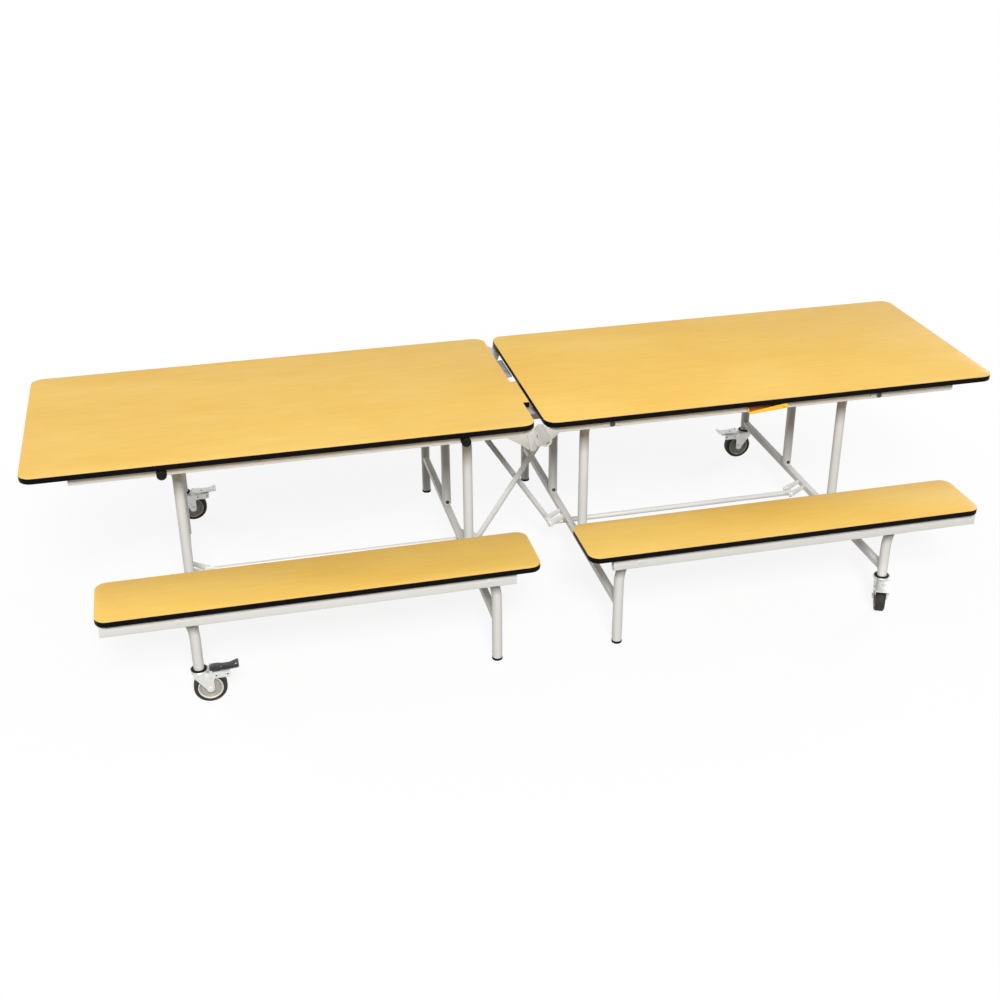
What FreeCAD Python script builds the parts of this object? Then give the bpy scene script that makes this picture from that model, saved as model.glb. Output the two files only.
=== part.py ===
import FreeCAD, Part
import math
import os

# Folding canteen table with four attached benches, in millimetres.
# Two table halves hang on four leg frames and fold upwards about a hinge line
# across the middle.  X runs along the table, Y across it and Z up.  The origin
# is on the floor under the middle of the hinge line.  Everything is drawn for
# the half at +X; the half at -X is the same half turned 180 degrees about Z.

# ---------------------------------------------------------------- table tops
TABLE_HEIGHT = 695.0
TOP_LENGTH = 1538.0          # one half
TOP_WIDTH = 759.0
TOP_GAP = 31.0               # between the two halves
TOP_CORNER = 40.0
PANEL_THICKNESS = 19.0       # table tops and bench tops
LAMINATE = 1.2
EDGE_BAND = 3.0
EDGE_ROUND = 2.5
GAP_TAB_REACH = 21.0         # the left top's tab, which closes part of the gap
GAP_TAB_FRONT = -204.0
GAP_TAB_BACK = -30.0

# ------------------------------------------------------------------- benches
BENCH_HEIGHT = 371.0
BENCH_LENGTH = 1306.0
BENCH_WIDTH = 224.0
BENCH_CORNER = 36.0
BENCH_INNER_END = 75.0       # from the hinge line
BENCH_CENTRE_Y = 570.0
BENCH_RAIL_WIDTH = 20.0
BENCH_RAIL_HEIGHT = 40.0
BENCH_RAIL_SPREAD = 176.0    # between the two rails' centre lines
BENCH_RAIL_SETBACK = 77.0    # rail end behind the bench's inner end
BENCH_RAIL_OUTER_SETBACK = 9.0

# -------------------------------------------------------- rails under the top
TOP_RAIL_WIDTH = 25.0
TOP_RAIL_HEIGHT = 30.0
TOP_RAIL_INSET = 27.5        # rail's outer face inside the top's long edge
TOP_RAIL_SETBACK = 14.0      # rail end behind the top's inner edge
TOP_RAIL_OUTER_SETBACK = 134.0
RAIL_WALL = 2.0
CROSS_RAIL = 20.0
CROSS_RAIL_INSET = 20.0      # from the rails' ends

# ---------------------------------------------------------------- leg frames
MID_FRAME_X = 197.0
END_FRAME_X = 1112.0
POST_Y = 591.0
RISER_Y = 187.0
TUBE_RADIUS = 16.0
TUBE_WALL = 2.0
BEND_RADIUS = 180.0
PIVOT_SPREAD = 40.0          # pivots stand this far outside the frame's plane
TOP_PIVOT_DROP = 18.0        # below the top's underside
PIVOT_TUBE_RADIUS = 12.5
PIN_RADIUS = 6.0
PIN_HEAD_RADIUS = 9.0
PIN_HEAD = 2.5
PIN_GRIP = 25.0              # length of pin held inside the pivot tube
BEAM_SIZE = 22.0
BEAM_CORNER = 2.5
BEAM_HEIGHT = 144.0          # beam's centre line above the floor
SPIGOT_HEIGHT = 30.0         # stub on the beam inside each riser
RISER_BOLT_HEAD_RADIUS = 6.5
RISER_BOLT_HEAD = 2.5
FOOT_HEIGHT = 9.0
FOOT_LIP = 0.8
FOOT_ROUND = 1.6
FOOT_PLUG = 20.0
RUNNING_CLEARANCE = 0.05     # radial, a pin in its bore
SIDE_CLEARANCE = 0.5         # between faces that turn past each other
FIT_CLEARANCE = 0.3          # between a plug and the tube it sits in

# --------------------------------------------- lower link bars and the braces
BRACKET_REACH = 56.0         # from the frame's plane to the bracket's bolt
BRACKET_Y = 31.0
BRACKET_GAP = 40.0           # between the bracket's two arms
ARM_THICKNESS = 4.0
ARM_RADIUS = 12.0
LINK_HEIGHT = 120.0
LINK_RADIUS = 9.0
BRACE_RADIUS = 9.5
BOLT_RADIUS = 5.0
BOLT_HEAD_RADIUS = 8.5
BOLT_HEAD = 5.5
EYE_RADIUS = 11.0
EYE_THICKNESS = 6.0
EYE_SHANK = 16.5             # width of the flat between the eye and the bar
EYE_NECK = 24.0              # from the eye's centre to the start of the round bar
EYE_OFFSET = 10.0            # link eye and brace eye each side of the bracket's middle
BRACE_LEAN = 33.0            # degrees from upright
FOLD_ANGLE = 74.0            # degrees that a table half tilts when folded
BRACE_LUG_GAP = 8.0
BRACE_LUG_THICKNESS = 4.0

# --------------------------------------------------------------- centre hinge
HINGE_DROP = 70.0            # hinge line below the table's surface
HINGE_PIN_RADIUS = 5.0
HINGE_LOBE = 16.0
GUSSET_THICKNESS = 5.0
GUSSET_LENGTH = 104.0
GUSSET_TOE = (36.0, 26.0)    # back from the hinge line, and below it
GUSSET_HEEL = (62.0, 5.0)
BLADE_THICKNESS = 3.5
BLADE_TOP = (45.0, 20.0)     # its two edges, back from the hinge line
BLADE_FOOT = (34.0, 13.0)
BLADE_DROP = 31.0            # its lower end, below the hinge line
BLADE_CHAMFER = (3.0, 5.0)
HINGE_WASHER_RADIUS = 9.0
HINGE_PIN_HEAD_RADIUS = 8.0
HINGE_SPACER_SETBACK = 17.0  # from the right rail's end
HINGE_SPACER_LENGTH = 15.0
HINGE_SPACER_MARGIN = 2.0    # inside the rail's upper and lower face
TONGUE_ARM = (10.0, 14.0)    # below the hinge line, at the pin and under the tongue
TONGUE_PLATE = 4.0
TONGUE_COVER = 4.0
TONGUE_RIM = 4.5
TONGUE_LOW = (18.0, 4.0, 21.0)    # x, height over the hinge line, radius
FRONT_TONGUE_HIGH = (1.0, 46.0, 15.0)
REAR_TONGUE_HIGH = (1.0, 30.0, 13.0)

# -------------------------------------------------------- plates in the gap
GAP_PLATE = 5.0
GAP_PLATE_FRONT_OVERHANG = 46.0
GAP_PLATE_BACK_OVERHANG = 23.0
REAR_PLATE_START = 60.0
REAR_PLATE_END = 207.0

# -------------------------------------- pivot buffers, pivot plates and lever
BUFFER_RADIUS = 15.0
BUFFER_LENGTH = 26.0
BUFFER_ROUND = 3.0
PIVOT_PLATE_LENGTH = 60.0
PIVOT_PLATE_HEIGHT = 16.0
PIVOT_PLATE = 3.0
LEVER_PIVOT_X = 814.0
LEVER_LENGTH = 124.0
LEVER_SLOPE = 4.0            # degrees, its free end hangs lower
LEVER_FRONT = (8.0, 17.0)    # height of its front wall, at the free end and at the pivot
LEVER_BACK = (19.0, 18.0)    # height of its back wall, at the same two places
LEVER_WIDTH = 18.0
LEVER_WALL = 3.0
LEVER_BOSS = 9.0
LEVER_DROP = 11.0            # lever's pivot below the top's underside
LEVER_LUG = 3.0
LEVER_PIN_RADIUS = 4.0
LEVER_PIN_HEAD_RADIUS = 6.4

# ------------------------------------------------------------------- casters
WHEEL_RADIUS = 50.0
WHEEL_WIDTH = 32.0
RIM_RADIUS = 38.0
TYRE_ROUND = 5.0
WEB_WIDTH = 14.0
HUB_RADIUS = 13.0
RIM_WALL = 4.0
CASTER_HEIGHT = 117.0
CASTER_TRAIL = 28.0
AXLE_RADIUS = 6.0
FORK_PLATE = 2.5
FORK_CLEARANCE = 3.5         # wheel to fork
CROWN_LENGTH = 90.0          # from the swivel axis to the fork's far end
CROWN_RADIUS = 27.0
FORK_HEEL = 19.0             # the plates start this far behind the swivel axis
FORK_HEEL_DEPTH = 9.0
FORK_SKIRT = (26.0, 20.0)    # depth of the plates' front part, at its ends
AXLE_NUT_RADIUS = 9.0
AXLE_NUT = 4.0
RACE_RADIUS = 26.0
RACE_HEIGHT = 4.5
KING_PIN_RADIUS = 6.0
KING_PIN_LENGTH = 22.0       # above the cup
PEDAL_PIVOT = 33.0           # from the swivel axis
PEDAL_RISE = 3.5             # pedal's pivot above the crown
PEDAL_BARREL = 3.0
PEDAL_EAR_RADIUS = 4.5
PEDAL_PIN_RADIUS = 1.8
PEDAL_PIN_HEAD_RADIUS = 3.2
PEDAL_PIN_HEAD = 1.5
PEDAL_LENGTH = 118.0
PEDAL_WIDTH = 36.0
PEDAL_SHOULDER_END = 60.0    # the pedal covers the crown up to here
PEDAL_SHOULDER_TAPER = 4.0
PEDAL_TIP_WIDTH = 48.0
PEDAL_TIP_LENGTH = 27.0
PEDAL_TIP_ROUND = 5.0
PEDAL_TIP_RISE = 6.0
PEDAL_THICKNESS = 3.0
PEDAL_HOLE = 4.0
PEDAL_HOLE_INSETS = (9.0, 54.0)   # from the tip
FRONT_RIGHT_TRAIL_ANGLE = -115.0

# ------------------------------------------------------------ derived heights
TOP_UNDERSIDE = TABLE_HEIGHT - PANEL_THICKNESS
TOP_PIVOT_Z = TOP_UNDERSIDE - TOP_PIVOT_DROP
BENCH_UNDERSIDE = BENCH_HEIGHT - PANEL_THICKNESS
BENCH_PIVOT_Z = BENCH_UNDERSIDE - BENCH_RAIL_HEIGHT / 2
TOP_RAIL_BOTTOM = TOP_UNDERSIDE - TOP_RAIL_HEIGHT
HINGE_Z = TABLE_HEIGHT - HINGE_DROP
TOP_START = TOP_GAP / 2
TOP_END = TOP_START + TOP_LENGTH
TOP_RAIL_START = TOP_START + TOP_RAIL_SETBACK
TOP_RAIL_END = TOP_END - TOP_RAIL_OUTER_SETBACK
TOP_RAIL_OUTER_Y = TOP_WIDTH / 2 - TOP_RAIL_INSET
TOP_RAIL_INNER_Y = TOP_RAIL_OUTER_Y - TOP_RAIL_WIDTH
BENCH_RAIL_START = BENCH_INNER_END + BENCH_RAIL_SETBACK
BENCH_RAIL_END = BENCH_INNER_END + BENCH_LENGTH - BENCH_RAIL_OUTER_SETBACK
LEFT, RIGHT = -1, 1
FRONT, REAR = -1, 1
SIDE_NAMES = {LEFT: "left", RIGHT: "right"}
DEPTH_NAMES = {FRONT: "front", REAR: "rear"}


# ------------------------------------------------------------- small builders
def at(x, y, z):
    return FreeCAD.Vector(x, y, z)


def block(xs, ys, zs):
    """Box between the two values given for each axis."""
    low = at(min(xs), min(ys), min(zs))
    return Part.makeBox(abs(xs[1] - xs[0]), abs(ys[1] - ys[0]), abs(zs[1] - zs[0]), low)


def rod(start, end, radius):
    return Part.makeCylinder(radius, (end - start).Length, start, end - start)


def disc_y(x, z, radius, ys):
    """Round plate or pin that lies along Y."""
    return rod(at(x, min(ys), z), at(x, max(ys), z), radius)


def plate_xz(points, ys):
    """Flat plate with the given outline in X and Z, between two Y values."""
    corners = [at(x, min(ys), z) for x, z in points]
    face = Part.Face(Part.makePolygon(corners + corners[:1]))
    return face.extrude(at(0, abs(ys[1] - ys[0]), 0))


def fused(first, *others):
    result = first
    for other in others:
        result = result.fuse(other)
    return result.removeSplitter()


def turned(shape, side):
    """The half at +X as drawn, or turned about Z for the half at -X."""
    copy = shape.copy()
    if side == LEFT:
        copy.rotate(at(0, 0, 0), at(0, 0, 1), 180)
    return copy


def mirrored_y(shape):
    return shape.mirror(at(0, 0, 0), at(0, 1, 0))


def edges_along(shape, direction):
    """Straight edges that run along the given axis."""
    found = []
    for edge in shape.Edges:
        if isinstance(edge.Curve, Part.Line):
            if abs(edge.tangentAt(edge.FirstParameter).dot(direction)) > 0.999:
                found.append(edge)
    return found


# ---------------------------------------------------------- panels and edging
def rounded_slab(xs, ys, zs, radius):
    slab = block(xs, ys, zs)
    return slab.makeFillet(radius, edges_along(slab, at(0, 0, 1)))


def panel(xs, ys, top, corner):
    """Core and laminate as one board, and the black band round its core."""
    seam = top - LAMINATE
    bottom = top - PANEL_THICKNESS
    core_xs = (xs[0] + EDGE_BAND, xs[1] - EDGE_BAND)
    core_ys = (ys[0] + EDGE_BAND, ys[1] - EDGE_BAND)
    core = rounded_slab(core_xs, core_ys, (bottom, seam), corner - EDGE_BAND)
    laminate = rounded_slab(xs, ys, (seam, top), corner)
    band = rounded_slab(xs, ys, (bottom, seam), corner)
    low_edges = [edge for edge in band.Edges if edge.BoundBox.ZMax < bottom + LAMINATE / 2]
    band = band.makeFillet(EDGE_ROUND, low_edges).cut(core)
    return fused(core, laminate), band


def table_top(side):
    half_width = TOP_WIDTH / 2
    board, band = panel((TOP_START, TOP_END), (-half_width, half_width), TABLE_HEIGHT, TOP_CORNER)
    board, band = turned(board, side), turned(band, side)
    if side == LEFT:
        board, band = with_gap_tab(board, band)
    return board, band


def with_gap_tab(board, band):
    """The left board runs on into the gap, with edging on the tab's two ends."""
    edge_x = -TOP_START
    tip_x = edge_x + GAP_TAB_REACH
    seam = TABLE_HEIGHT - LAMINATE
    core_ys = (GAP_TAB_FRONT + EDGE_BAND, GAP_TAB_BACK - EDGE_BAND)
    core = block((edge_x - EDGE_BAND, tip_x), core_ys, (TOP_UNDERSIDE, seam))
    laminate = block((edge_x - EDGE_BAND, tip_x), (GAP_TAB_FRONT, GAP_TAB_BACK), (seam, TABLE_HEIGHT))
    board = fused(board, core, laminate)
    band = band.cut(core)
    ends = []
    for y_end, y_core in ((GAP_TAB_FRONT, core_ys[0]), (GAP_TAB_BACK, core_ys[1])):
        ends.append(block((edge_x, tip_x), (y_end, y_core), (TOP_UNDERSIDE, seam)))
    return board, Part.makeCompound([band] + ends)


# ----------------------------------------------------------- rails and benches
def box_tube_x(xs, ys, zs):
    outer = block(xs, ys, zs)
    inner_ys = (ys[0] + RAIL_WALL, ys[1] - RAIL_WALL)
    inner_zs = (zs[0] + RAIL_WALL, zs[1] - RAIL_WALL)
    return outer.cut(block(xs, inner_ys, inner_zs))


def pivot_xs():
    return [MID_FRAME_X + PIVOT_SPREAD, END_FRAME_X + PIVOT_SPREAD]


def top_rails():
    """Two long rails and three cross rails welded between them."""
    bore = PIN_RADIUS + RUNNING_CLEARANCE
    rails = []
    for depth in (FRONT, REAR):
        ys = sorted((depth * TOP_RAIL_INNER_Y, depth * TOP_RAIL_OUTER_Y))
        rail = box_tube_x((TOP_RAIL_START, TOP_RAIL_END), ys, (TOP_RAIL_BOTTOM, TOP_UNDERSIDE))
        for x in pivot_xs():
            rail = rail.cut(disc_y(x, TOP_PIVOT_Z, bore, ys))
        rails.append(rail)
    first = TOP_RAIL_START + CROSS_RAIL_INSET
    last = TOP_RAIL_END - CROSS_RAIL_INSET - CROSS_RAIL
    for x in (first, (first + last) / 2, last):
        cross = block((x, x + CROSS_RAIL), (-TOP_RAIL_INNER_Y, TOP_RAIL_INNER_Y),
                      (TOP_UNDERSIDE - CROSS_RAIL, TOP_UNDERSIDE))
        hollow = block((x + RAIL_WALL, x + CROSS_RAIL - RAIL_WALL), (-TOP_RAIL_INNER_Y, TOP_RAIL_INNER_Y),
                       (TOP_UNDERSIDE - CROSS_RAIL + RAIL_WALL, TOP_UNDERSIDE - RAIL_WALL))
        rails.append(cross.cut(hollow))
    return rails


def bench_rail_ys(depth):
    """Y spans of the bench's two rails."""
    spans = []
    for step in (-1, 1):
        middle = depth * BENCH_CENTRE_Y + step * BENCH_RAIL_SPREAD / 2
        spans.append((middle - BENCH_RAIL_WIDTH / 2, middle + BENCH_RAIL_WIDTH / 2))
    return spans


def bench(depth):
    middle = depth * BENCH_CENTRE_Y
    ys = (middle - BENCH_WIDTH / 2, middle + BENCH_WIDTH / 2)
    xs = (BENCH_INNER_END, BENCH_INNER_END + BENCH_LENGTH)
    board, band = panel(xs, ys, BENCH_HEIGHT, BENCH_CORNER)
    zs = (BENCH_UNDERSIDE - BENCH_RAIL_HEIGHT, BENCH_UNDERSIDE)
    bore = PIN_RADIUS + RUNNING_CLEARANCE
    rails = []
    for span in bench_rail_ys(depth):
        rail = box_tube_x((BENCH_RAIL_START, BENCH_RAIL_END), span, zs)
        for x in pivot_xs():
            rail = rail.cut(disc_y(x, BENCH_PIVOT_Z, bore, span))
        rails.append(rail)
    inner = bench_rail_ys(depth)[0][1], bench_rail_ys(depth)[1][0]
    centre_x = sum(pivot_xs()) / 2
    rails.append(block((centre_x - CROSS_RAIL / 2, centre_x + CROSS_RAIL / 2), inner,
                       (BENCH_UNDERSIDE - CROSS_RAIL, BENCH_UNDERSIDE)))
    return board, band, rails


# ------------------------------------------------------------------ leg frames
def bend_angle():
    return math.acos(1 - PIVOT_SPREAD / BEND_RADIUS)


def bent_tube(x, y, bottom, pivot_z):
    """Upright tube that bends outwards and is coped round the pivot tube."""
    centre = at(x, y, pivot_z - BEND_RADIUS * math.sin(bend_angle()))
    circles = [Part.Circle(centre, at(0, 0, 1), radius) for radius in (TUBE_RADIUS, TUBE_RADIUS - TUBE_WALL)]
    outer, inner = [Part.Face(Part.Wire(circle.toShape())) for circle in circles]
    ring = outer.cut(inner).Faces[0]
    straight = ring.extrude(at(0, 0, bottom - centre.z))
    bend = ring.revolve(centre + at(BEND_RADIUS, 0, 0), at(0, 1, 0), math.degrees(bend_angle()))
    coping = disc_y(x + PIVOT_SPREAD, pivot_z, PIVOT_TUBE_RADIUS, (y - 2 * TUBE_RADIUS, y + 2 * TUBE_RADIUS))
    return fused(straight, bend.cut(coping))


def beam(x):
    """Square tube across the frame, cut round to fit against the two posts."""
    half = BEAM_SIZE / 2
    zs = (BEAM_HEIGHT - half, BEAM_HEIGHT + half)
    outer = block((x - half, x + half), (-POST_Y, POST_Y), zs)
    outer = outer.makeFillet(BEAM_CORNER, edges_along(outer, at(0, 1, 0)))
    inside = half - TUBE_WALL
    outer = outer.cut(block((x - inside, x + inside), (-POST_Y, POST_Y),
                            (BEAM_HEIGHT - inside, BEAM_HEIGHT + inside)))
    for depth in (FRONT, REAR):
        y = depth * POST_Y
        outer = outer.cut(rod(at(x, y, zs[0] - half), at(x, y, zs[1] + half), TUBE_RADIUS))
    return outer


def spigot(x, depth):
    """Stub on the beam that the riser slides over."""
    base = BEAM_HEIGHT + BEAM_SIZE / 2
    y = depth * RISER_Y
    stub = rod(at(x, y, base), at(x, y, base + SPIGOT_HEIGHT), TUBE_RADIUS - TUBE_WALL - FIT_CLEARANCE)
    return stub.cut(riser_bolt_shank(x, depth))


def riser_bolt_shank(x, depth):
    y = depth * RISER_Y
    z = BEAM_HEIGHT + BEAM_SIZE
    return disc_y(x, z, BOLT_RADIUS, (y - TUBE_RADIUS, y + TUBE_RADIUS))


def riser_bolt(x, depth):
    y = depth * RISER_Y
    z = BEAM_HEIGHT + BEAM_SIZE
    heads = []
    for step in (-1, 1):
        face = y + step * TUBE_RADIUS
        heads.append(disc_y(x, z, RISER_BOLT_HEAD_RADIUS, sorted((face, face + step * RISER_BOLT_HEAD))))
    return fused(riser_bolt_shank(x, depth), *heads)


def riser(x, depth):
    y = depth * RISER_Y
    half = BEAM_SIZE / 2
    tube = bent_tube(x, y, BEAM_HEIGHT, TOP_PIVOT_Z)
    tube = tube.cut(block((x - half, x + half), (y - 2 * TUBE_RADIUS, y + 2 * TUBE_RADIUS),
                          (BEAM_HEIGHT - half, BEAM_HEIGHT + half)))
    return tube.cut(riser_bolt_shank(x, depth))


def pivot_tube(x, z, ys):
    tube = disc_y(x, z, PIVOT_TUBE_RADIUS, ys)
    return tube.cut(disc_y(x, z, PIVOT_TUBE_RADIUS - TUBE_WALL, ys))


def pivot_pin(x, z, tube_end, rail_outer, outward, head):
    """Pin with a plug in the pivot tube's end, running through the rail."""
    plug_ys = sorted((tube_end - outward * PIN_GRIP, tube_end))
    plug = disc_y(x, z, PIVOT_TUBE_RADIUS - TUBE_WALL - RUNNING_CLEARANCE, plug_ys)
    tip = rail_outer + outward * SIDE_CLEARANCE
    pin = plug.fuse(disc_y(x, z, PIN_RADIUS, sorted((tube_end, tip))))
    if head:
        pin = pin.fuse(disc_y(x, z, PIN_HEAD_RADIUS, sorted((tip, tip + outward * PIN_HEAD))))
    return pin.removeSplitter()


def bench_pivots(x, depth):
    """Short tube between a bench's rails, and the pins through the rails."""
    low, high = bench_rail_ys(depth)
    ys = (low[1] + SIDE_CLEARANCE, high[0] - SIDE_CLEARANCE)
    tube = pivot_tube(x, BENCH_PIVOT_Z, ys)
    pins = [pivot_pin(x, BENCH_PIVOT_Z, ys[0], low[0], -1, True),
            pivot_pin(x, BENCH_PIVOT_Z, ys[1], high[1], 1, True)]
    return tube, pins


def top_pivots(x, buffered):
    """Long tube between the top's rails; its pins end in a buffer or a plate."""
    reach = TOP_RAIL_INNER_Y - SIDE_CLEARANCE
    outer = TOP_RAIL_OUTER_Y if buffered else TOP_RAIL_OUTER_Y + PIVOT_PLATE
    tube = pivot_tube(x, TOP_PIVOT_Z, (-reach, reach))
    pins = [pivot_pin(x, TOP_PIVOT_Z, depth * reach, depth * outer, depth, not buffered)
            for depth in (FRONT, REAR)]
    return tube, pins


def bracket_arm_ys():
    inner = BRACKET_GAP / 2
    return [(BRACKET_Y - inner - ARM_THICKNESS, BRACKET_Y - inner),
            (BRACKET_Y + inner, BRACKET_Y + inner + ARM_THICKNESS)]


def link_bracket(x):
    """Two arms welded to the beam's inner face, reaching to the link's bolt."""
    face_x = x - BEAM_SIZE / 2
    bolt_x = x - BRACKET_REACH
    top = BEAM_HEIGHT + BEAM_SIZE / 2 - BEAM_CORNER
    bottom = BEAM_HEIGHT - BEAM_SIZE / 2 + BEAM_CORNER
    arms = []
    for ys in bracket_arm_ys():
        arm = plate_xz([(face_x, bottom), (face_x, top), (bolt_x, LINK_HEIGHT + ARM_RADIUS),
                        (bolt_x, LINK_HEIGHT - ARM_RADIUS)], ys)
        arm = fused(arm, disc_y(bolt_x, LINK_HEIGHT, ARM_RADIUS, ys))
        arms.append(arm.cut(disc_y(bolt_x, LINK_HEIGHT, BOLT_RADIUS, ys)))
    return arms


def link_bolt(x):
    bolt_x = x - BRACKET_REACH
    front, back = bracket_arm_ys()
    ys = (front[0], back[1])
    shank = disc_y(bolt_x, LINK_HEIGHT, BOLT_RADIUS, ys)
    head = disc_y(bolt_x, LINK_HEIGHT, BOLT_HEAD_RADIUS, (ys[0] - BOLT_HEAD, ys[0]))
    nut = disc_y(bolt_x, LINK_HEIGHT, BOLT_HEAD_RADIUS, (ys[1], ys[1] + BOLT_HEAD))
    return fused(shank, head, nut)


def post(x, depth, bottom):
    y = depth * POST_Y
    return bent_tube(x, y, bottom, BENCH_PIVOT_Z)


def foot(x, depth):
    """Black rubber cap with a plug inside the post."""
    y = depth * POST_Y
    cap = rod(at(x, y, 0), at(x, y, FOOT_HEIGHT), TUBE_RADIUS + FOOT_LIP)
    cap = cap.makeFillet(FOOT_ROUND, [edge for edge in cap.Edges if edge.BoundBox.ZMax < FOOT_HEIGHT / 2])
    plug = rod(at(x, y, FOOT_HEIGHT), at(x, y, FOOT_HEIGHT + FOOT_PLUG),
               TUBE_RADIUS - TUBE_WALL - FIT_CLEARANCE)
    return fused(cap, plug)


def leg_frame(x, bottom, buffered):
    """Beam, legs and loose hardware of one frame in the half at +X."""
    pivot_x = x + PIVOT_SPREAD
    cross = [beam(x)] + link_bracket(x)
    legs = []
    hardware = [link_bolt(x)]
    for depth in (FRONT, REAR):
        cross.append(spigot(x, depth))
        legs.append(post(x, depth, bottom))
        legs.append(riser(x, depth))
        hardware.append(riser_bolt(x, depth))
        tube, pins = bench_pivots(pivot_x, depth)
        legs.append(tube)
        hardware.extend(pins)
    tube, pins = top_pivots(pivot_x, buffered)
    legs.append(tube)
    hardware.extend(pins)
    return cross, legs, hardware


# ------------------------------------------------------- link bars and braces
def eyed_bar(start, end, radius, y):
    """Round bar in an XZ plane with a flat drilled eye at each end."""
    run = end - start
    length = run.Length
    ys = (y - EYE_THICKNESS / 2, y + EYE_THICKNESS / 2)
    bar = rod(at(EYE_NECK, y, 0), at(length - EYE_NECK, y, 0), radius)
    half = EYE_SHANK / 2
    for centre, inner in ((0, EYE_NECK + radius), (length, length - EYE_NECK - radius)):
        bar = bar.fuse(disc_y(centre, 0, EYE_RADIUS, ys))
        bar = bar.fuse(block((centre, inner), ys, (-half, half)))
    bar = bar.removeSplitter()
    for centre in (0, length):
        bar = bar.cut(disc_y(centre, 0, BOLT_RADIUS + RUNNING_CLEARANCE, ys))
    bar.rotate(at(0, 0, 0), at(0, 1, 0), -math.degrees(math.atan2(run.z, run.x)))
    bar.translate(at(start.x, 0, start.z))
    return bar


def link_bar():
    start = at(MID_FRAME_X - BRACKET_REACH, 0, LINK_HEIGHT)
    end = at(END_FRAME_X - BRACKET_REACH, 0, LINK_HEIGHT)
    return eyed_bar(start, end, LINK_RADIUS, BRACKET_Y - EYE_OFFSET)


def tilted(vector, degrees):
    """Vector in the XZ plane, turned from +X towards +Z."""
    angle = math.radians(degrees)
    return at(vector.x * math.cos(angle) - vector.z * math.sin(angle), 0,
              vector.x * math.sin(angle) + vector.z * math.cos(angle))


def brace_ends():
    """Lower bolt on the right mid frame and upper lug on the left half.

    The brace has one length, and it reaches the same lug with the table flat
    and with it folded.  The hinge line stands still in this working-out.
    """
    hinge = at(0, 0, HINGE_Z)
    lower = at(MID_FRAME_X - BRACKET_REACH, 0, LINK_HEIGHT)
    pivot = at(MID_FRAME_X + PIVOT_SPREAD, 0, TOP_PIVOT_Z)
    lean = math.radians(BRACE_LEAN)
    along = at(-math.sin(lean), 0, math.cos(lean))
    lower_folded = tilted(pivot - hinge, -FOLD_ANGLE) + (lower - pivot)
    apart = tilted(lower - hinge, FOLD_ANGLE) - lower_folded
    length = -apart.dot(apart) / (2 * apart.dot(tilted(along, FOLD_ANGLE)))
    return lower, lower + along * length


def brace_y():
    return BRACKET_Y + EYE_OFFSET


def brace():
    lower, upper = brace_ends()
    return eyed_bar(lower, upper, BRACE_RADIUS, brace_y())


def brace_lugs():
    """Lugs under the other half that hold the brace's upper end."""
    upper = brace_ends()[1]
    inner = BRACE_LUG_GAP / 2
    lugs = []
    for step in (-1, 1):
        face = brace_y() + step * inner
        ys = sorted((face, face + step * BRACE_LUG_THICKNESS))
        lug = plate_xz([(upper.x - EYE_RADIUS, upper.z), (upper.x + EYE_RADIUS, upper.z),
                        (upper.x + 2 * EYE_RADIUS, TOP_UNDERSIDE),
                        (upper.x - 2 * EYE_RADIUS, TOP_UNDERSIDE)], ys)
        lug = fused(lug, disc_y(upper.x, upper.z, EYE_RADIUS, ys))
        lugs.append(lug.cut(disc_y(upper.x, upper.z, BOLT_RADIUS, ys)))
    return lugs


# ---------------------------------------------------------------- centre hinge
def hinge_layers():
    """Distances from the middle plane: gusset, blade, tongue plate and cover."""
    gusset = (TOP_RAIL_OUTER_Y - GUSSET_THICKNESS, TOP_RAIL_OUTER_Y)
    blade = (gusset[1], gusset[1] + BLADE_THICKNESS)
    tongue = (blade[1] + SIDE_CLEARANCE, blade[1] + SIDE_CLEARANCE + TONGUE_PLATE)
    cover = (tongue[1], tongue[1] + TONGUE_COVER)
    return gusset, blade, tongue, cover


def left_hinge_side():
    """Gusset with the bearing lobe, the blade over it and a spacing washer."""
    gusset_ys, blade_ys, _, _ = hinge_layers()
    bottom = TOP_RAIL_BOTTOM
    gusset = plate_xz([(-GUSSET_LENGTH, bottom), (HINGE_LOBE, bottom), (0, HINGE_Z - HINGE_LOBE),
                       (-GUSSET_TOE[0], HINGE_Z - GUSSET_TOE[1]),
                       (-GUSSET_HEEL[0], HINGE_Z - GUSSET_HEEL[1])], gusset_ys)
    gusset = fused(gusset, disc_y(0, HINGE_Z, HINGE_LOBE, gusset_ys))
    foot_z = HINGE_Z - BLADE_DROP
    cut_x, cut_z = BLADE_CHAMFER
    blade = plate_xz([(-BLADE_TOP[0], TOP_UNDERSIDE), (-BLADE_TOP[1], TOP_UNDERSIDE),
                      (-BLADE_FOOT[1], foot_z + cut_z), (-BLADE_FOOT[1] - cut_x, foot_z),
                      (-BLADE_FOOT[0] + cut_x, foot_z), (-BLADE_FOOT[0], foot_z + cut_z)], blade_ys)
    washer = disc_y(0, HINGE_Z, HINGE_WASHER_RADIUS, blade_ys)
    blade = blade.cut(washer)
    pin_hole = disc_y(0, HINGE_Z, HINGE_PIN_RADIUS, (gusset_ys[0], blade_ys[1]))
    return [gusset.cut(pin_hole), blade, washer.cut(pin_hole)]


def hinge_pin():
    gusset_ys, _, tongue_ys, _ = hinge_layers()
    tip = tongue_ys[1] - SIDE_CLEARANCE
    pin = disc_y(0, HINGE_Z, HINGE_PIN_RADIUS, (gusset_ys[0], tip))
    head = disc_y(0, HINGE_Z, HINGE_PIN_HEAD_RADIUS, (gusset_ys[0] - PIN_HEAD, gusset_ys[0]))
    return fused(pin, head)


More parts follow.
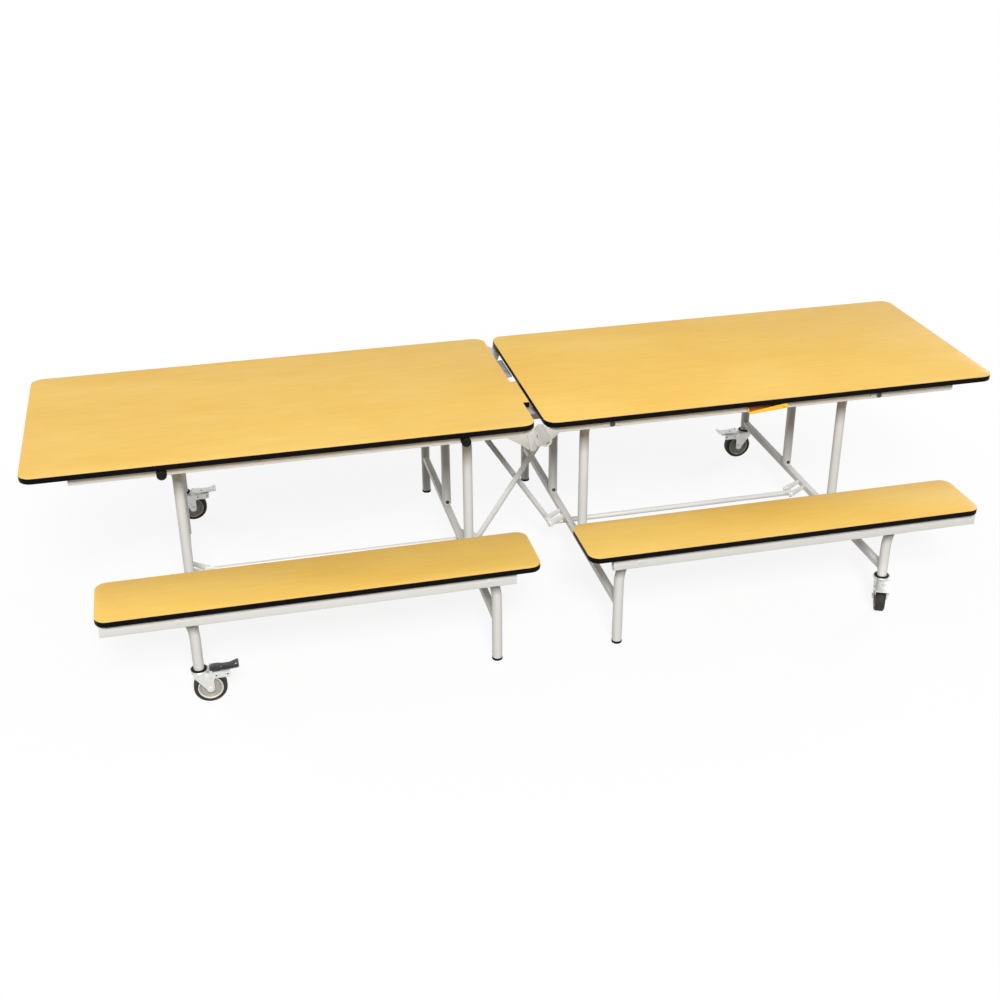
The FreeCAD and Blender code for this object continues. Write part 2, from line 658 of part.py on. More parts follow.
def tongue_outline(upper, inset, ys):
    """Rounded tongue: two circles and the straight sides that touch both."""
    low_x, low_z, low_r = TONGUE_LOW
    high_x, high_z, high_r = upper
    low = (low_x, HINGE_Z + low_z, low_r - inset)
    high = (high_x, HINGE_Z + high_z, high_r - inset)
    dx, dz = high[0] - low[0], high[1] - low[1]
    distance = math.hypot(dx, dz)
    heading = math.atan2(dz, dx)
    flare = math.acos((low[2] - high[2]) / distance)
    corners = []
    for sign, order in ((1, (low, high)), (-1, (high, low))):
        angle = heading + sign * flare
        for x, z, radius in order:
            corners.append((x + radius * math.cos(angle), z + radius * math.sin(angle)))
    body = plate_xz(corners, ys)
    return fused(body, disc_y(low[0], low[1], low[2], ys), disc_y(high[0], high[1], high[2], ys))


def right_hinge_side(upper):
    """Spacer on the rail, bearing plate with the tongue's shape, and its cover."""
    _, blade_ys, tongue_ys, cover_ys = hinge_layers()
    near = TOP_RAIL_START + HINGE_SPACER_SETBACK
    far = near + HINGE_SPACER_LENGTH
    low = TOP_RAIL_BOTTOM + HINGE_SPACER_MARGIN
    high = TOP_UNDERSIDE - HINGE_SPACER_MARGIN
    spacer = block((near, far), (blade_ys[0], tongue_ys[0]), (low, high))
    arm = plate_xz([(0, HINGE_Z - TONGUE_ARM[0]), (TONGUE_LOW[0], HINGE_Z - TONGUE_ARM[1]),
                    (far, low), (far, high), (TONGUE_LOW[0], high)], tongue_ys)
    plate = fused(arm, disc_y(0, HINGE_Z, HINGE_LOBE, tongue_ys), tongue_outline(upper, 0, tongue_ys))
    plate = plate.cut(disc_y(0, HINGE_Z, HINGE_PIN_RADIUS + RUNNING_CLEARANCE, tongue_ys))
    cover = tongue_outline(upper, 0, cover_ys)
    recess_ys = (cover_ys[0] + TONGUE_COVER / 2, cover_ys[1])
    cover = cover.cut(tongue_outline(upper, TONGUE_RIM, recess_ys))
    return [spacer, plate, cover]


def both_depths(rear, front):
    """Two lists drawn at the rear, where the second one is mirrored to the front."""
    return rear + [mirrored_y(solid) for solid in front]


# ------------------------------------------- plates, buffers and release lever
def gap_plates():
    """Steel plates welded to the left top's first cross rail, reaching across the gap."""
    xs = (-TOP_RAIL_START - CROSS_RAIL_INSET, TOP_START - SIDE_CLEARANCE)
    zs = (TOP_UNDERSIDE - GAP_PLATE, TOP_UNDERSIDE)
    front = block(xs, (GAP_TAB_FRONT - GAP_PLATE_FRONT_OVERHANG, GAP_TAB_BACK + GAP_PLATE_BACK_OVERHANG), zs)
    rear = block(xs, (REAR_PLATE_START, REAR_PLATE_END), zs)
    return [front, rear]


def buffer_cap(x, depth):
    """Black cap over a pivot pin's end, fixed to the rail."""
    face = depth * TOP_RAIL_OUTER_Y
    end = face + depth * BUFFER_LENGTH
    cap = disc_y(x, TOP_PIVOT_Z, BUFFER_RADIUS, sorted((face, end)))
    rim = [edge for edge in cap.Edges if abs(edge.BoundBox.Center.y - end) < BUFFER_ROUND / 2]
    cap = cap.makeFillet(BUFFER_ROUND, rim)
    pocket_end = face + depth * 2 * SIDE_CLEARANCE
    return cap.cut(disc_y(x, TOP_PIVOT_Z, PIN_RADIUS + RUNNING_CLEARANCE, sorted((face, pocket_end))))


def pivot_plate(x, depth):
    """Light plate on the rail, under the pin's head."""
    face = depth * TOP_RAIL_OUTER_Y
    ys = sorted((face, face + depth * PIVOT_PLATE))
    half = PIVOT_PLATE_LENGTH / 2
    low = TOP_PIVOT_Z - PIVOT_PLATE_HEIGHT / 2
    plate = block((x - half, x + half), ys, (low, low + PIVOT_PLATE_HEIGHT))
    return plate.cut(disc_y(x, TOP_PIVOT_Z, PIN_RADIUS + RUNNING_CLEARANCE, ys))


def lever_place():
    z = TOP_UNDERSIDE - LEVER_DROP
    y = -TOP_RAIL_OUTER_Y - LEVER_LUG - SIDE_CLEARANCE - LEVER_WIDTH / 2
    return z, y


def release_lever():
    """Pressed channel with a low front wall and a round boss, sloping to its free end."""
    z, y = lever_place()
    front, back = y - LEVER_WIDTH / 2, y + LEVER_WIDTH / 2
    tip_x = LEVER_PIVOT_X - LEVER_LENGTH
    low = z - LEVER_BOSS
    lever = block((tip_x, LEVER_PIVOT_X), (front, back), (low, low + LEVER_WALL))
    end = block((tip_x, tip_x + LEVER_WALL), (front, back), (low, low + LEVER_FRONT[0]))
    lever = fused(lever, end, disc_y(LEVER_PIVOT_X, z, LEVER_BOSS, (front, back)))
    for heights, ys in ((LEVER_FRONT, (front, front + LEVER_WALL)), (LEVER_BACK, (back - LEVER_WALL, back))):
        wall = plate_xz([(tip_x, low), (LEVER_PIVOT_X, low), (LEVER_PIVOT_X, low + heights[1]),
                         (tip_x, low + heights[0])], ys)
        lever = fused(lever, wall)
    lever = lever.cut(disc_y(LEVER_PIVOT_X, z, LEVER_PIN_RADIUS + RUNNING_CLEARANCE, (front, back)))
    lever.rotate(at(LEVER_PIVOT_X, 0, z), at(0, 1, 0), -LEVER_SLOPE)
    return lever


def lever_mount():
    """Lug on the rail and the pin that the lever turns on."""
    z, y = lever_place()
    face = -TOP_RAIL_OUTER_Y
    lug = block((LEVER_PIVOT_X - LEVER_BOSS, LEVER_PIVOT_X + LEVER_BOSS), (face - LEVER_LUG, face),
                (z - LEVER_BOSS, TOP_UNDERSIDE))
    far = y - LEVER_WIDTH / 2 - SIDE_CLEARANCE
    pin = disc_y(LEVER_PIVOT_X, z, LEVER_PIN_RADIUS, (far, face - LEVER_LUG))
    head = disc_y(LEVER_PIVOT_X, z, LEVER_PIN_HEAD_RADIUS, (far - PIN_HEAD, far))
    return [lug, fused(pin, head)]


# --------------------------------------------------------------------- casters
def crown_top():
    return 2 * WHEEL_RADIUS + FORK_CLEARANCE + FORK_PLATE


def fork():
    """Pressed fork with its lower race, king pin, pedal ears and axle."""
    top = crown_top()
    inner = WHEEL_WIDTH / 2 + FORK_CLEARANCE
    outer = inner + FORK_PLATE
    crown = block((0, CROWN_LENGTH), (-outer, outer), (top - FORK_PLATE, top))
    crown = crown.fuse(rod(at(0, 0, top - FORK_PLATE), at(0, 0, top), CROWN_RADIUS))
    axle_z = WHEEL_RADIUS
    profile = [(-FORK_HEEL, top - FORK_PLATE), (-FORK_HEEL, top - FORK_HEEL_DEPTH),
               (CASTER_TRAIL - 2 * AXLE_RADIUS, axle_z),
               (CASTER_TRAIL + 2 * AXLE_RADIUS, axle_z), (CASTER_TRAIL + 3 * AXLE_RADIUS, top - FORK_SKIRT[0]),
               (CROWN_LENGTH, top - FORK_SKIRT[1]), (CROWN_LENGTH, top - FORK_PLATE)]
    body = crown
    for step in (-1, 1):
        ys = sorted((step * inner, step * outer))
        leg = plate_xz(profile, ys).fuse(disc_y(CASTER_TRAIL, axle_z, 2 * AXLE_RADIUS, ys))
        ear = disc_y(PEDAL_PIVOT, top + PEDAL_RISE, PEDAL_EAR_RADIUS, ys)
        ear = ear.fuse(block((PEDAL_PIVOT - PEDAL_EAR_RADIUS, PEDAL_PIVOT + PEDAL_EAR_RADIUS), ys,
                             (top - FORK_PLATE, top + PEDAL_RISE)))
        body = body.fuse(leg).fuse(ear)
    race = rod(at(0, 0, top), at(0, 0, top + RACE_HEIGHT), RACE_RADIUS)
    king = rod(at(0, 0, top), at(0, 0, CASTER_HEIGHT + KING_PIN_LENGTH), KING_PIN_RADIUS)
    axle = disc_y(CASTER_TRAIL, axle_z, AXLE_RADIUS, (-outer, outer))
    pedal_pin = disc_y(PEDAL_PIVOT, top + PEDAL_RISE, PEDAL_PIN_RADIUS, (-outer, outer))
    heads = []
    for step in (-1, 1):
        face = step * outer
        heads.append(disc_y(CASTER_TRAIL, axle_z, AXLE_NUT_RADIUS, sorted((face, face + step * AXLE_NUT))))
        heads.append(disc_y(PEDAL_PIVOT, top + PEDAL_RISE, PEDAL_PIN_HEAD_RADIUS,
                            sorted((face, face + step * PEDAL_PIN_HEAD))))
    return [fused(body, race, king, axle, pedal_pin, *heads)]


def tyre():
    half = WHEEL_WIDTH / 2
    ring = disc_y(CASTER_TRAIL, WHEEL_RADIUS, WHEEL_RADIUS, (-half, half))
    ring = ring.makeFillet(TYRE_ROUND, [edge for edge in ring.Edges if isinstance(edge.Curve, Part.Circle)])
    return ring.cut(disc_y(CASTER_TRAIL, WHEEL_RADIUS, RIM_RADIUS, (-half, half)))


def wheel_centre():
    """Rim, web and hub of one wheel, with the axle's running bore."""
    half = WHEEL_WIDTH / 2
    rim = disc_y(CASTER_TRAIL, WHEEL_RADIUS, RIM_RADIUS, (-half, half))
    rim = rim.cut(disc_y(CASTER_TRAIL, WHEEL_RADIUS, RIM_RADIUS - RIM_WALL, (-half, half)))
    web = disc_y(CASTER_TRAIL, WHEEL_RADIUS, RIM_RADIUS - RIM_WALL / 2, (-WEB_WIDTH / 2, WEB_WIDTH / 2))
    hub_half = half + FORK_CLEARANCE - SIDE_CLEARANCE
    hub = disc_y(CASTER_TRAIL, WHEEL_RADIUS, HUB_RADIUS, (-hub_half, hub_half))
    wheel = fused(rim, web, hub)
    bore = disc_y(CASTER_TRAIL, WHEEL_RADIUS, AXLE_RADIUS + RUNNING_CLEARANCE, (-hub_half, hub_half))
    return wheel.cut(bore)


def pedal_plan(narrow):
    """Upright prism with the pedal's outline as seen from above."""
    shoulder_start = PEDAL_PIVOT + PEDAL_EAR_RADIUS + SIDE_CLEARANCE
    shoulder = WHEEL_WIDTH / 2 + FORK_CLEARANCE + FORK_PLATE
    half = [(PEDAL_PIVOT, narrow), (shoulder_start, narrow), (shoulder_start, shoulder),
            (PEDAL_SHOULDER_END, shoulder), (PEDAL_SHOULDER_END + PEDAL_SHOULDER_TAPER, PEDAL_WIDTH / 2),
            (PEDAL_LENGTH - PEDAL_TIP_LENGTH, PEDAL_WIDTH / 2), (PEDAL_LENGTH, PEDAL_TIP_WIDTH / 2)]
    corners = [at(x, y, 0) for x, y in half] + [at(x, -y, 0) for x, y in reversed(half)]
    plan = Part.Face(Part.makePolygon(corners + corners[:1])).extrude(at(0, 0, 2 * CASTER_HEIGHT))
    tip_x = PEDAL_LENGTH - PEDAL_THICKNESS
    tip_edges = [edge for edge in edges_along(plan, at(0, 0, 1)) if edge.BoundBox.XMin > tip_x]
    return plan.makeFillet(PEDAL_TIP_ROUND, tip_edges)


def pedal():
    """Brake pedal: barrel round its pin, and a long plate on the crown with a wide tip."""
    inner = WHEEL_WIDTH / 2 + FORK_CLEARANCE - SIDE_CLEARANCE
    z = crown_top() + PEDAL_RISE
    low = z - PEDAL_BARREL
    bend_x = PEDAL_LENGTH - PEDAL_TIP_LENGTH
    profile = [(PEDAL_PIVOT, low), (bend_x, low), (PEDAL_LENGTH, low + PEDAL_TIP_RISE),
               (PEDAL_LENGTH, low + PEDAL_TIP_RISE + PEDAL_THICKNESS), (bend_x, low + PEDAL_THICKNESS),
               (PEDAL_PIVOT, low + PEDAL_THICKNESS)]
    plate = plate_xz(profile, (-PEDAL_TIP_WIDTH / 2, PEDAL_TIP_WIDTH / 2)).common(pedal_plan(inner))
    shape = fused(plate, disc_y(PEDAL_PIVOT, z, PEDAL_BARREL, (-inner, inner)))
    for inset in PEDAL_HOLE_INSETS:
        hole_x = PEDAL_LENGTH - inset
        shape = shape.cut(rod(at(hole_x, 0, low - PEDAL_BARREL), at(hole_x, 0, 2 * CASTER_HEIGHT), PEDAL_HOLE))
    return shape.cut(disc_y(PEDAL_PIVOT, z, PEDAL_PIN_RADIUS + RUNNING_CLEARANCE, (-inner, inner)))


def caster_socket():
    """Upper race under the post and the plug inside it, bored for the king pin."""
    low = crown_top() + RACE_HEIGHT + SIDE_CLEARANCE
    cup = rod(at(0, 0, low), at(0, 0, CASTER_HEIGHT), CROWN_RADIUS)
    plug = rod(at(0, 0, CASTER_HEIGHT), at(0, 0, CASTER_HEIGHT + KING_PIN_LENGTH + TUBE_WALL),
               TUBE_RADIUS - TUBE_WALL - FIT_CLEARANCE)
    bore = rod(at(0, 0, low), at(0, 0, CASTER_HEIGHT + KING_PIN_LENGTH + SIDE_CLEARANCE),
               KING_PIN_RADIUS + RUNNING_CLEARANCE)
    return fused(cup, plug).cut(bore)


def placed_caster(shape, side, depth):
    angle = 0.0 if side == LEFT else 180.0
    if (side, depth) == (RIGHT, FRONT):
        angle = FRONT_RIGHT_TRAIL_ANGLE
    copy = shape.copy()
    copy.rotate(at(0, 0, 0), at(0, 0, 1), angle)
    copy.translate(at(side * END_FRAME_X, depth * POST_Y, 0))
    return copy


# -------------------------------------------------------------------- assembly
def build_half(side, parts):
    name = SIDE_NAMES[side]
    board, band = table_top(side)
    parts[name + "_top_board"] = [board]
    parts[name + "_top_edge"] = [band]
    rails = [turned(rail, side) for rail in top_rails()]
    parts[name + "_top_rails"] = rails + [turned(lug, -side) for lug in brace_lugs()]
    for depth in (FRONT, REAR):
        board, band, rails = bench(depth * side)
        bench_name = "bench_" + name + "_" + DEPTH_NAMES[depth]
        parts[bench_name + "_board"] = [turned(board, side)]
        parts[bench_name + "_edge"] = [turned(band, side)]
        parts[bench_name + "_rails"] = [turned(rail, side) for rail in rails]
    parts[name + "_link_bar"] = [turned(link_bar(), side)]
    parts[name + "_brace"] = [turned(brace(), side)]


def build_frames(side, parts):
    for place, x, bottom in (("mid", MID_FRAME_X, FOOT_HEIGHT), ("end", END_FRAME_X, CASTER_HEIGHT)):
        cross, legs, hardware = leg_frame(x, bottom, side == LEFT)
        name = SIDE_NAMES[side] + "_" + place
        parts[name + "_beam"] = [turned(solid, side) for solid in cross]
        parts[name + "_legs"] = [turned(solid, side) for solid in legs]
        hardware = [turned(solid, side) for solid in hardware]
        if place == "end":
            hardware += [placed_caster(caster_socket(), side, depth) for depth in (FRONT, REAR)]
        else:
            parts[name + "_feet"] = [turned(foot(x, depth), side) for depth in (FRONT, REAR)]
        parts[name + "_hardware"] = hardware


def build_casters(side, parts):
    for depth in (FRONT, REAR):
        name = "caster_" + SIDE_NAMES[side] + "_" + DEPTH_NAMES[depth]
        parts[name + "_fork"] = [placed_caster(solid, side, depth) for solid in fork()]
        parts[name + "_tyre"] = [placed_caster(tyre(), side, depth)]
        parts[name + "_wheel"] = [placed_caster(wheel_centre(), side, depth)]
        parts[name + "_pedal"] = [placed_caster(pedal(), side, depth)]


def build_fittings(parts):
    parts["left_hinge_plates"] = both_depths(left_hinge_side(), left_hinge_side())
    parts["right_hinge_plates"] = both_depths(right_hinge_side(REAR_TONGUE_HIGH),
                                              right_hinge_side(FRONT_TONGUE_HIGH))
    parts["hinge_pins"] = both_depths([hinge_pin()], [hinge_pin()])
    parts["left_gap_plates"] = gap_plates()
    parts["left_pivot_buffers"] = [buffer_cap(-x, depth) for x in pivot_xs() for depth in (FRONT, REAR)]
    parts["right_pivot_plates"] = [pivot_plate(x, depth) for x in pivot_xs() for depth in (FRONT, REAR)]
    parts["release_lever"] = [release_lever()]
    parts["lever_mount"] = lever_mount()


def build():
    parts = {}
    for side in (LEFT, RIGHT):
        build_half(side, parts)
        build_frames(side, parts)
        build_casters(side, parts)
    build_fittings(parts)
    return parts


def export(parts):
    os.makedirs("parts", exist_ok=True)
    for name, solids in parts.items():
        shape = solids[0] if len(solids) == 1 else Part.makeCompound(solids)
        shape.exportStep("parts/" + name + ".step")


export(build())
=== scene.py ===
import math
import random

import bmesh
import bpy
from mathutils import Matrix, Vector


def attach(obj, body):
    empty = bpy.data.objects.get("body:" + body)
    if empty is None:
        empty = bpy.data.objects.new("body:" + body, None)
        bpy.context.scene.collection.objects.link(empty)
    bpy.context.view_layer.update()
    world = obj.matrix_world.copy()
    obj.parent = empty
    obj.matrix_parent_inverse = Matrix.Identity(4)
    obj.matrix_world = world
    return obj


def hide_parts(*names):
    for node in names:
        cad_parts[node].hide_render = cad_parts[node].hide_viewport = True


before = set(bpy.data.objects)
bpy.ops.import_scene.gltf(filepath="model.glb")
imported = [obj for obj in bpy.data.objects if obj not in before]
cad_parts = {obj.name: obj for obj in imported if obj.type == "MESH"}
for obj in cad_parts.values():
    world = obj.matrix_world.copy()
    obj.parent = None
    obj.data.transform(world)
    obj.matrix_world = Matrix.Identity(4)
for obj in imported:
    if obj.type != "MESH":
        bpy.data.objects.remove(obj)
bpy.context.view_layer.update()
scene = bpy.context.scene
scene.view_settings.view_transform = "Standard"


# ---- The room ----------------------------------------------------------------
# A pale floor that turns white away from the table, under a white sky. The soft
# lamps stand high in front, overhead and low behind on both sides.
def soft_lamp(name, place, watts, width):
    """Square lamp that is aimed at the middle of the table."""
    light = bpy.data.lights.new(name, "AREA")
    light.energy = watts
    light.size = width
    lamp = bpy.data.objects.new(name, light)
    lamp.location = place
    aim = Vector((0.0, 0.0, 0.4)) - Vector(place)
    lamp.rotation_euler = aim.to_track_quat("-Z", "Y").to_euler()
    scene.collection.objects.link(lamp)


def fed(tree, node, inputs):
    """Gives each input of a node its value, or the socket that feeds it."""
    for name, value in inputs.items():
        if isinstance(value, bpy.types.NodeSocket):
            tree.links.new(value, node.inputs[name])
        else:
            node.inputs[name].default_value = value
    return node.outputs


def added(tree, kind, inputs, **settings):
    """Adds a shader node with its settings and inputs."""
    node = tree.nodes.new("ShaderNode" + kind)
    for name, value in settings.items():
        setattr(node, name, value)
    return fed(tree, node, inputs)


def seen_directly(tree):
    """1 for what the camera, a reflection or a clear pane sees."""
    path = added(tree, "LightPath", {})
    either = added(tree, "Math", {0: path["Is Camera Ray"], 1: path["Is Glossy Ray"]}, operation="MAXIMUM")
    return added(tree, "Math", {0: either[0], 1: path["Is Transmission Ray"]}, operation="MAXIMUM")[0]


def mixed(tree, factor, first, second):
    return added(tree, "MixShader", {0: factor, 1: first[0], 2: second[0]})


def spread(tree, value, near, far, low, high, **settings):
    """Carries a value from the range near to far over to the range low to high."""
    return added(tree, "MapRange", {"Value": value, "From Min": near, "From Max": far,
                                   "To Min": low, "To Max": high}, **settings)["Result"]


def white_sky():
    scene.world = bpy.data.worlds.new("studio_sky")
    scene.world.use_nodes = True
    tree = scene.world.node_tree
    tree.nodes.clear()
    glow = added(tree, "Background", {"Color": (1.0, 0.95, 0.88, 1.0), "Strength": 0.14})
    white = added(tree, "Background", {"Color": (1.0, 1.0, 1.0, 1.0), "Strength": 1.0})
    added(tree, "OutputWorld", {"Surface": mixed(tree, seen_directly(tree), glow, white)[0]})


def placed(name, shell):
    """Puts what a shell holds into the scene as an object."""
    mesh = bpy.data.meshes.new(name)
    shell.to_mesh(mesh)
    shell.free()
    thing = bpy.data.objects.new(name, mesh)
    scene.collection.objects.link(thing)
    return thing


def pale_floor():
    shell = bmesh.new()
    bmesh.ops.create_grid(shell, x_segments=1, y_segments=1, size=60.0,
                          matrix=Matrix.Translation((0.0, 0.0, -0.0004)))
    floor = placed("studio_floor", shell)
    material = bpy.data.materials.new("studio_floor")
    material.use_nodes = True
    tree = material.node_tree
    tree.nodes.clear()
    bounce = added(tree, "BsdfDiffuse", {"Color": (0.25, 0.228, 0.20, 1.0)})
    matte = added(tree, "BsdfDiffuse", {"Color": (0.9, 0.9, 0.9, 1.0)})
    glow = added(tree, "Emission", {"Color": (1.0, 1.0, 1.0, 1.0), "Strength": 1.0})
    place = added(tree, "TexCoord", {})["Object"]
    distance = added(tree, "VectorMath", {0: place}, operation="LENGTH")["Value"]
    whiter = spread(tree, distance, 1.1, 2.6, 0.88, 1.0, interpolation_type="SMOOTHSTEP")
    seen = mixed(tree, whiter, matte, glow)
    added(tree, "OutputMaterial", {"Surface": mixed(tree, seen_directly(tree), bounce, seen)[0]})
    floor.data.materials.append(material)


def front_camera():
    """Camera turned by its yaw, pitch and roll, in radians."""
    place = Vector((-1.0287, -4.1562, 2.4934))
    yaw, pitch, roll = 0.2325, 0.485, -0.0076
    ahead = Vector((math.sin(yaw) * math.cos(pitch), math.cos(yaw) * math.cos(pitch), -math.sin(pitch)))
    right = Vector((math.cos(yaw), -math.sin(yaw), 0.0))
    up = right.cross(ahead)
    level_right = right * math.cos(roll) + up * math.sin(roll)
    level_up = up * math.cos(roll) - right * math.sin(roll)
    camera = bpy.data.objects.new("front_camera", bpy.data.cameras.new("front_camera"))
    camera.data.lens = 50.18
    camera.data.sensor_width = 36.0
    axes = Matrix((level_right, level_up, -ahead)).transposed().to_4x4()
    camera.matrix_world = Matrix.Translation(place) @ axes
    scene.collection.objects.link(camera)
    scene.camera = camera


white_sky()
pale_floor()
front_camera()
soft_lamp("front_lamp", (-1.2, -7.8, 6.8), 1095.0, 2.6)
soft_lamp("top_lamp", (-0.2, 1.6, 7.5), 30.0, 3.0)
soft_lamp("left_lamp", (-5.8, 4.4, 2.6), 140.0, 2.4)
soft_lamp("right_lamp", (6.4, 3.6, 2.6), 150.0, 2.4)


# ---- Table tops --------------------------------------------------------------
# Chipboard panels with a thin maple-coloured laminate on top, whose brown core
# shows as a line at its edge, a plain backing sheet below, and a black band of
# moulded plastic glued round the edge.  Everything is drawn in millimetres.
RIGHT, LEFT = 1, -1
TO_METRES = Matrix.Scale(0.001, 4)
TABLE_TOP = 695.0
TOP_XS = (15.5, 1553.5)
LEFT_TOP_XS = (-1553.5, -15.5)
TOP_YS = (-379.5, 379.5)
TOP_CORNER = 40.0
PANEL = 19.0
LAMINATE = 1.2
BAND = 3.0
BAND_ROUND = 2.4
EASED = 0.35
SEAM = 0.05
TAB_YS = (-204.0, -30.0)
TAB_REACH = 21.0


def moved_in(piece, shell):
    mesh = bpy.data.meshes.new("shell")
    shell.to_mesh(mesh)
    shell.free()
    piece.from_mesh(mesh)
    bpy.data.meshes.remove(mesh)


def joined(piece, shell, finish=0, move=None):
    """Adds one closed shell to a piece, clean and with its faces outwards."""
    bmesh.ops.remove_doubles(shell, verts=shell.verts, dist=0.001)
    bmesh.ops.recalc_face_normals(shell, faces=shell.faces)
    for face in shell.faces:
        face.material_index = finish
    if move is not None:
        shell.transform(move)
    moved_in(piece, shell)


def finished(name, piece, side, body, finishes, node):
    """Makes the object; what is drawn for the right half is turned for the left."""
    if side == LEFT:
        piece.transform(Matrix.Rotation(math.pi, 4, "Z"))
    piece.transform(TO_METRES)
    made = placed(name, piece)
    for finish in finishes:
        made.data.materials.append(finish)
    made.data.shade_smooth()
    made.data.set_sharp_from_angle(angle=math.radians(35.0))
    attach(made, body)
    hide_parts(node)


def bevelled(shell, edges, size, steps):
    bmesh.ops.bevel(shell, geom=edges, offset=size, offset_type="OFFSET", segments=steps,
                    profile=0.5, affect="EDGES", clamp_overlap=True, material=-1)


def box(low, high):
    shell = bmesh.new()
    middle = [(a + b) / 2 for a, b in zip(low, high)]
    size = [b - a for a, b in zip(low, high)]
    bmesh.ops.create_cube(shell, size=1.0,
                          matrix=Matrix.Translation(middle) @ Matrix.Diagonal((*size, 1.0)))
    return shell


def edges_along(shell, axis):
    return [edge for edge in shell.edges
            if abs((edge.verts[1].co - edge.verts[0].co).normalized()[axis]) > 0.999]


def faces_towards(shell, axis, sign):
    return [face for face in shell.faces if face.normal[axis] * sign > 0.999]


def slab(xs, ys, zs, corner):
    """Flat panel with its four upright corners rounded."""
    shell = box((xs[0], ys[0], zs[0]), (xs[1], ys[1], zs[1]))
    bevelled(shell, edges_along(shell, 2), corner, 12)
    return shell


def opened(shell, ends, walls):
    """Opens a solid right through between two end faces, leaving a wall round it."""
    loops = []
    for face, wall in zip(ends, walls):
        bmesh.ops.inset_region(shell, faces=[face], thickness=wall, use_even_offset=True)
        loops.extend(face.edges)
    bmesh.ops.delete(shell, geom=ends, context="FACES_ONLY")
    bmesh.ops.bridge_loops(shell, edges=loops)


def rim(shell, z):
    return [edge for edge in shell.edges if all(abs(vert.co.z - z) < 0.01 for vert in edge.verts)]


def new_verts(grown):
    return [item for item in grown["geom"] if isinstance(item, bmesh.types.BMVert)]


def pushed(shell, faces, vec):
    """Moves faces by a vector and walls in the sides that they leave open."""
    grown = bmesh.ops.extrude_face_region(shell, geom=faces)
    bmesh.ops.delete(shell, geom=faces, context="FACES_ONLY")
    moved = new_verts(grown)
    bmesh.ops.translate(shell, verts=moved, vec=vec)
    return moved


def cut_across(shell, place, normal):
    """Adds the edges in which a plane meets a shell."""
    bmesh.ops.bisect_plane(shell, geom=shell.verts[:] + shell.edges[:] + shell.faces[:],
                           plane_co=place, plane_no=normal)


def with_tab(shell, edge_x, reach, ys):
    """Runs part of a panel's inner edge on into the gap between the tops."""
    for y in ys:
        cut_across(shell, (0.0, y, 0.0), (0.0, 1.0, 0.0))
    tab = [face for face in faces_towards(shell, 0, 1)
           if abs(face.calc_center_median().x - edge_x) < 0.01
           and ys[0] < face.calc_center_median().y < ys[1]]
    pushed(shell, tab, (reach, 0.0, 0.0))


def laminate_sheet(xs, ys, top, corner, tab=None):
    shell = slab(xs, ys, (top - LAMINATE, top), corner)
    if tab:
        with_tab(shell, xs[1], *tab)
    bevelled(shell, [edge for edge in rim(shell, top) if edge.calc_face_angle(0.0) > 1.0], EASED, 2)
    return shell


def panel(xs, ys, top, corner, tab=None):
    """Laminate, brown at its edge, on a core that is black at a tab. Finishes: 0 is
    the laminate, 1 its edge, 2 the backing sheet, 3 the chipboard and 4 the black.
    """
    piece = bmesh.new()
    joined(piece, laminate_sheet(xs, ys, top, corner, tab), 0)
    core = slab((xs[0] + BAND, xs[1] - BAND), (ys[0] + BAND, ys[1] - BAND),
                (top - PANEL, top - LAMINATE), corner - BAND)
    if tab:
        with_tab(core, xs[1] - BAND, tab[0] + BAND, (tab[1][0] + BAND, tab[1][1] - BAND))
    joined(piece, core, 2)
    for face in piece.faces:
        if face.material_index == 0 and abs(face.normal.z) < 0.3:
            face.material_index = 1
        if face.material_index == 2 and abs(face.normal.z) < 0.3:
            face.material_index = 4 if tab and face.calc_center_median().x > xs[1] else 3
    return piece


def edge_band(xs, ys, top, corner):
    """Black band with its lower edge rounded, open where the core sits."""
    seam = top - LAMINATE - SEAM
    bottom = top - PANEL
    shell = slab(xs, ys, (bottom, seam), corner)
    bevelled(shell, rim(shell, bottom), BAND_ROUND, 5)
    bevelled(shell, rim(shell, seam), EASED, 2)
    ends = faces_towards(shell, 2, 1) + faces_towards(shell, 2, -1)
    opened(shell, ends, (BAND - EASED, BAND - BAND_ROUND))
    return shell


def node_material(name):
    material = bpy.data.materials.new(name)
    material.use_nodes = True
    return material, material.node_tree, material.node_tree.nodes["Principled BSDF"]


def noise(tree, scale, detail=3.0, stretch=(1.0, 1.0, 1.0)):
    """Cloudy pattern fixed to the piece, drawn out along an axis if asked."""
    place = added(tree, "TexCoord", {})["Object"]
    drawn_out = added(tree, "Mapping", {"Vector": place, "Scale": stretch})["Vector"]
    return added(tree, "TexNoise", {"Vector": drawn_out, "Scale": scale, "Detail": detail})[0]


def tones(tree, pattern, *stops):
    """Colours along a pattern: each stop is a place and a colour."""
    ramp = tree.nodes.new("ShaderNodeValToRGB")
    points = ramp.color_ramp.elements
    while len(points) < len(stops):
        points.new(0.5)
    for point, (place, colour) in zip(points, stops):
        point.position = place
        point.color = (*colour, 1.0)
    tree.links.new(pattern, ramp.inputs["Fac"])
    return ramp.outputs["Color"]


def multiplied(tree, first, second, factor=1.0):
    return added(tree, "Mix", {"Factor": factor, "A": first, "B": second},
                data_type="RGBA", blend_type="MULTIPLY")["Result"]


def gloss_drift(tree, scale, detail, low, high):
    """Roughness that drifts between two values."""
    return spread(tree, noise(tree, scale, detail), 0.3, 0.7, low, high)


def relief(tree, scale, depth, strength):
    """Fine relief of the given depth, in metres."""
    return added(tree, "Bump", {"Height": noise(tree, scale, 2.0), "Distance": depth,
                               "Strength": strength})["Normal"]


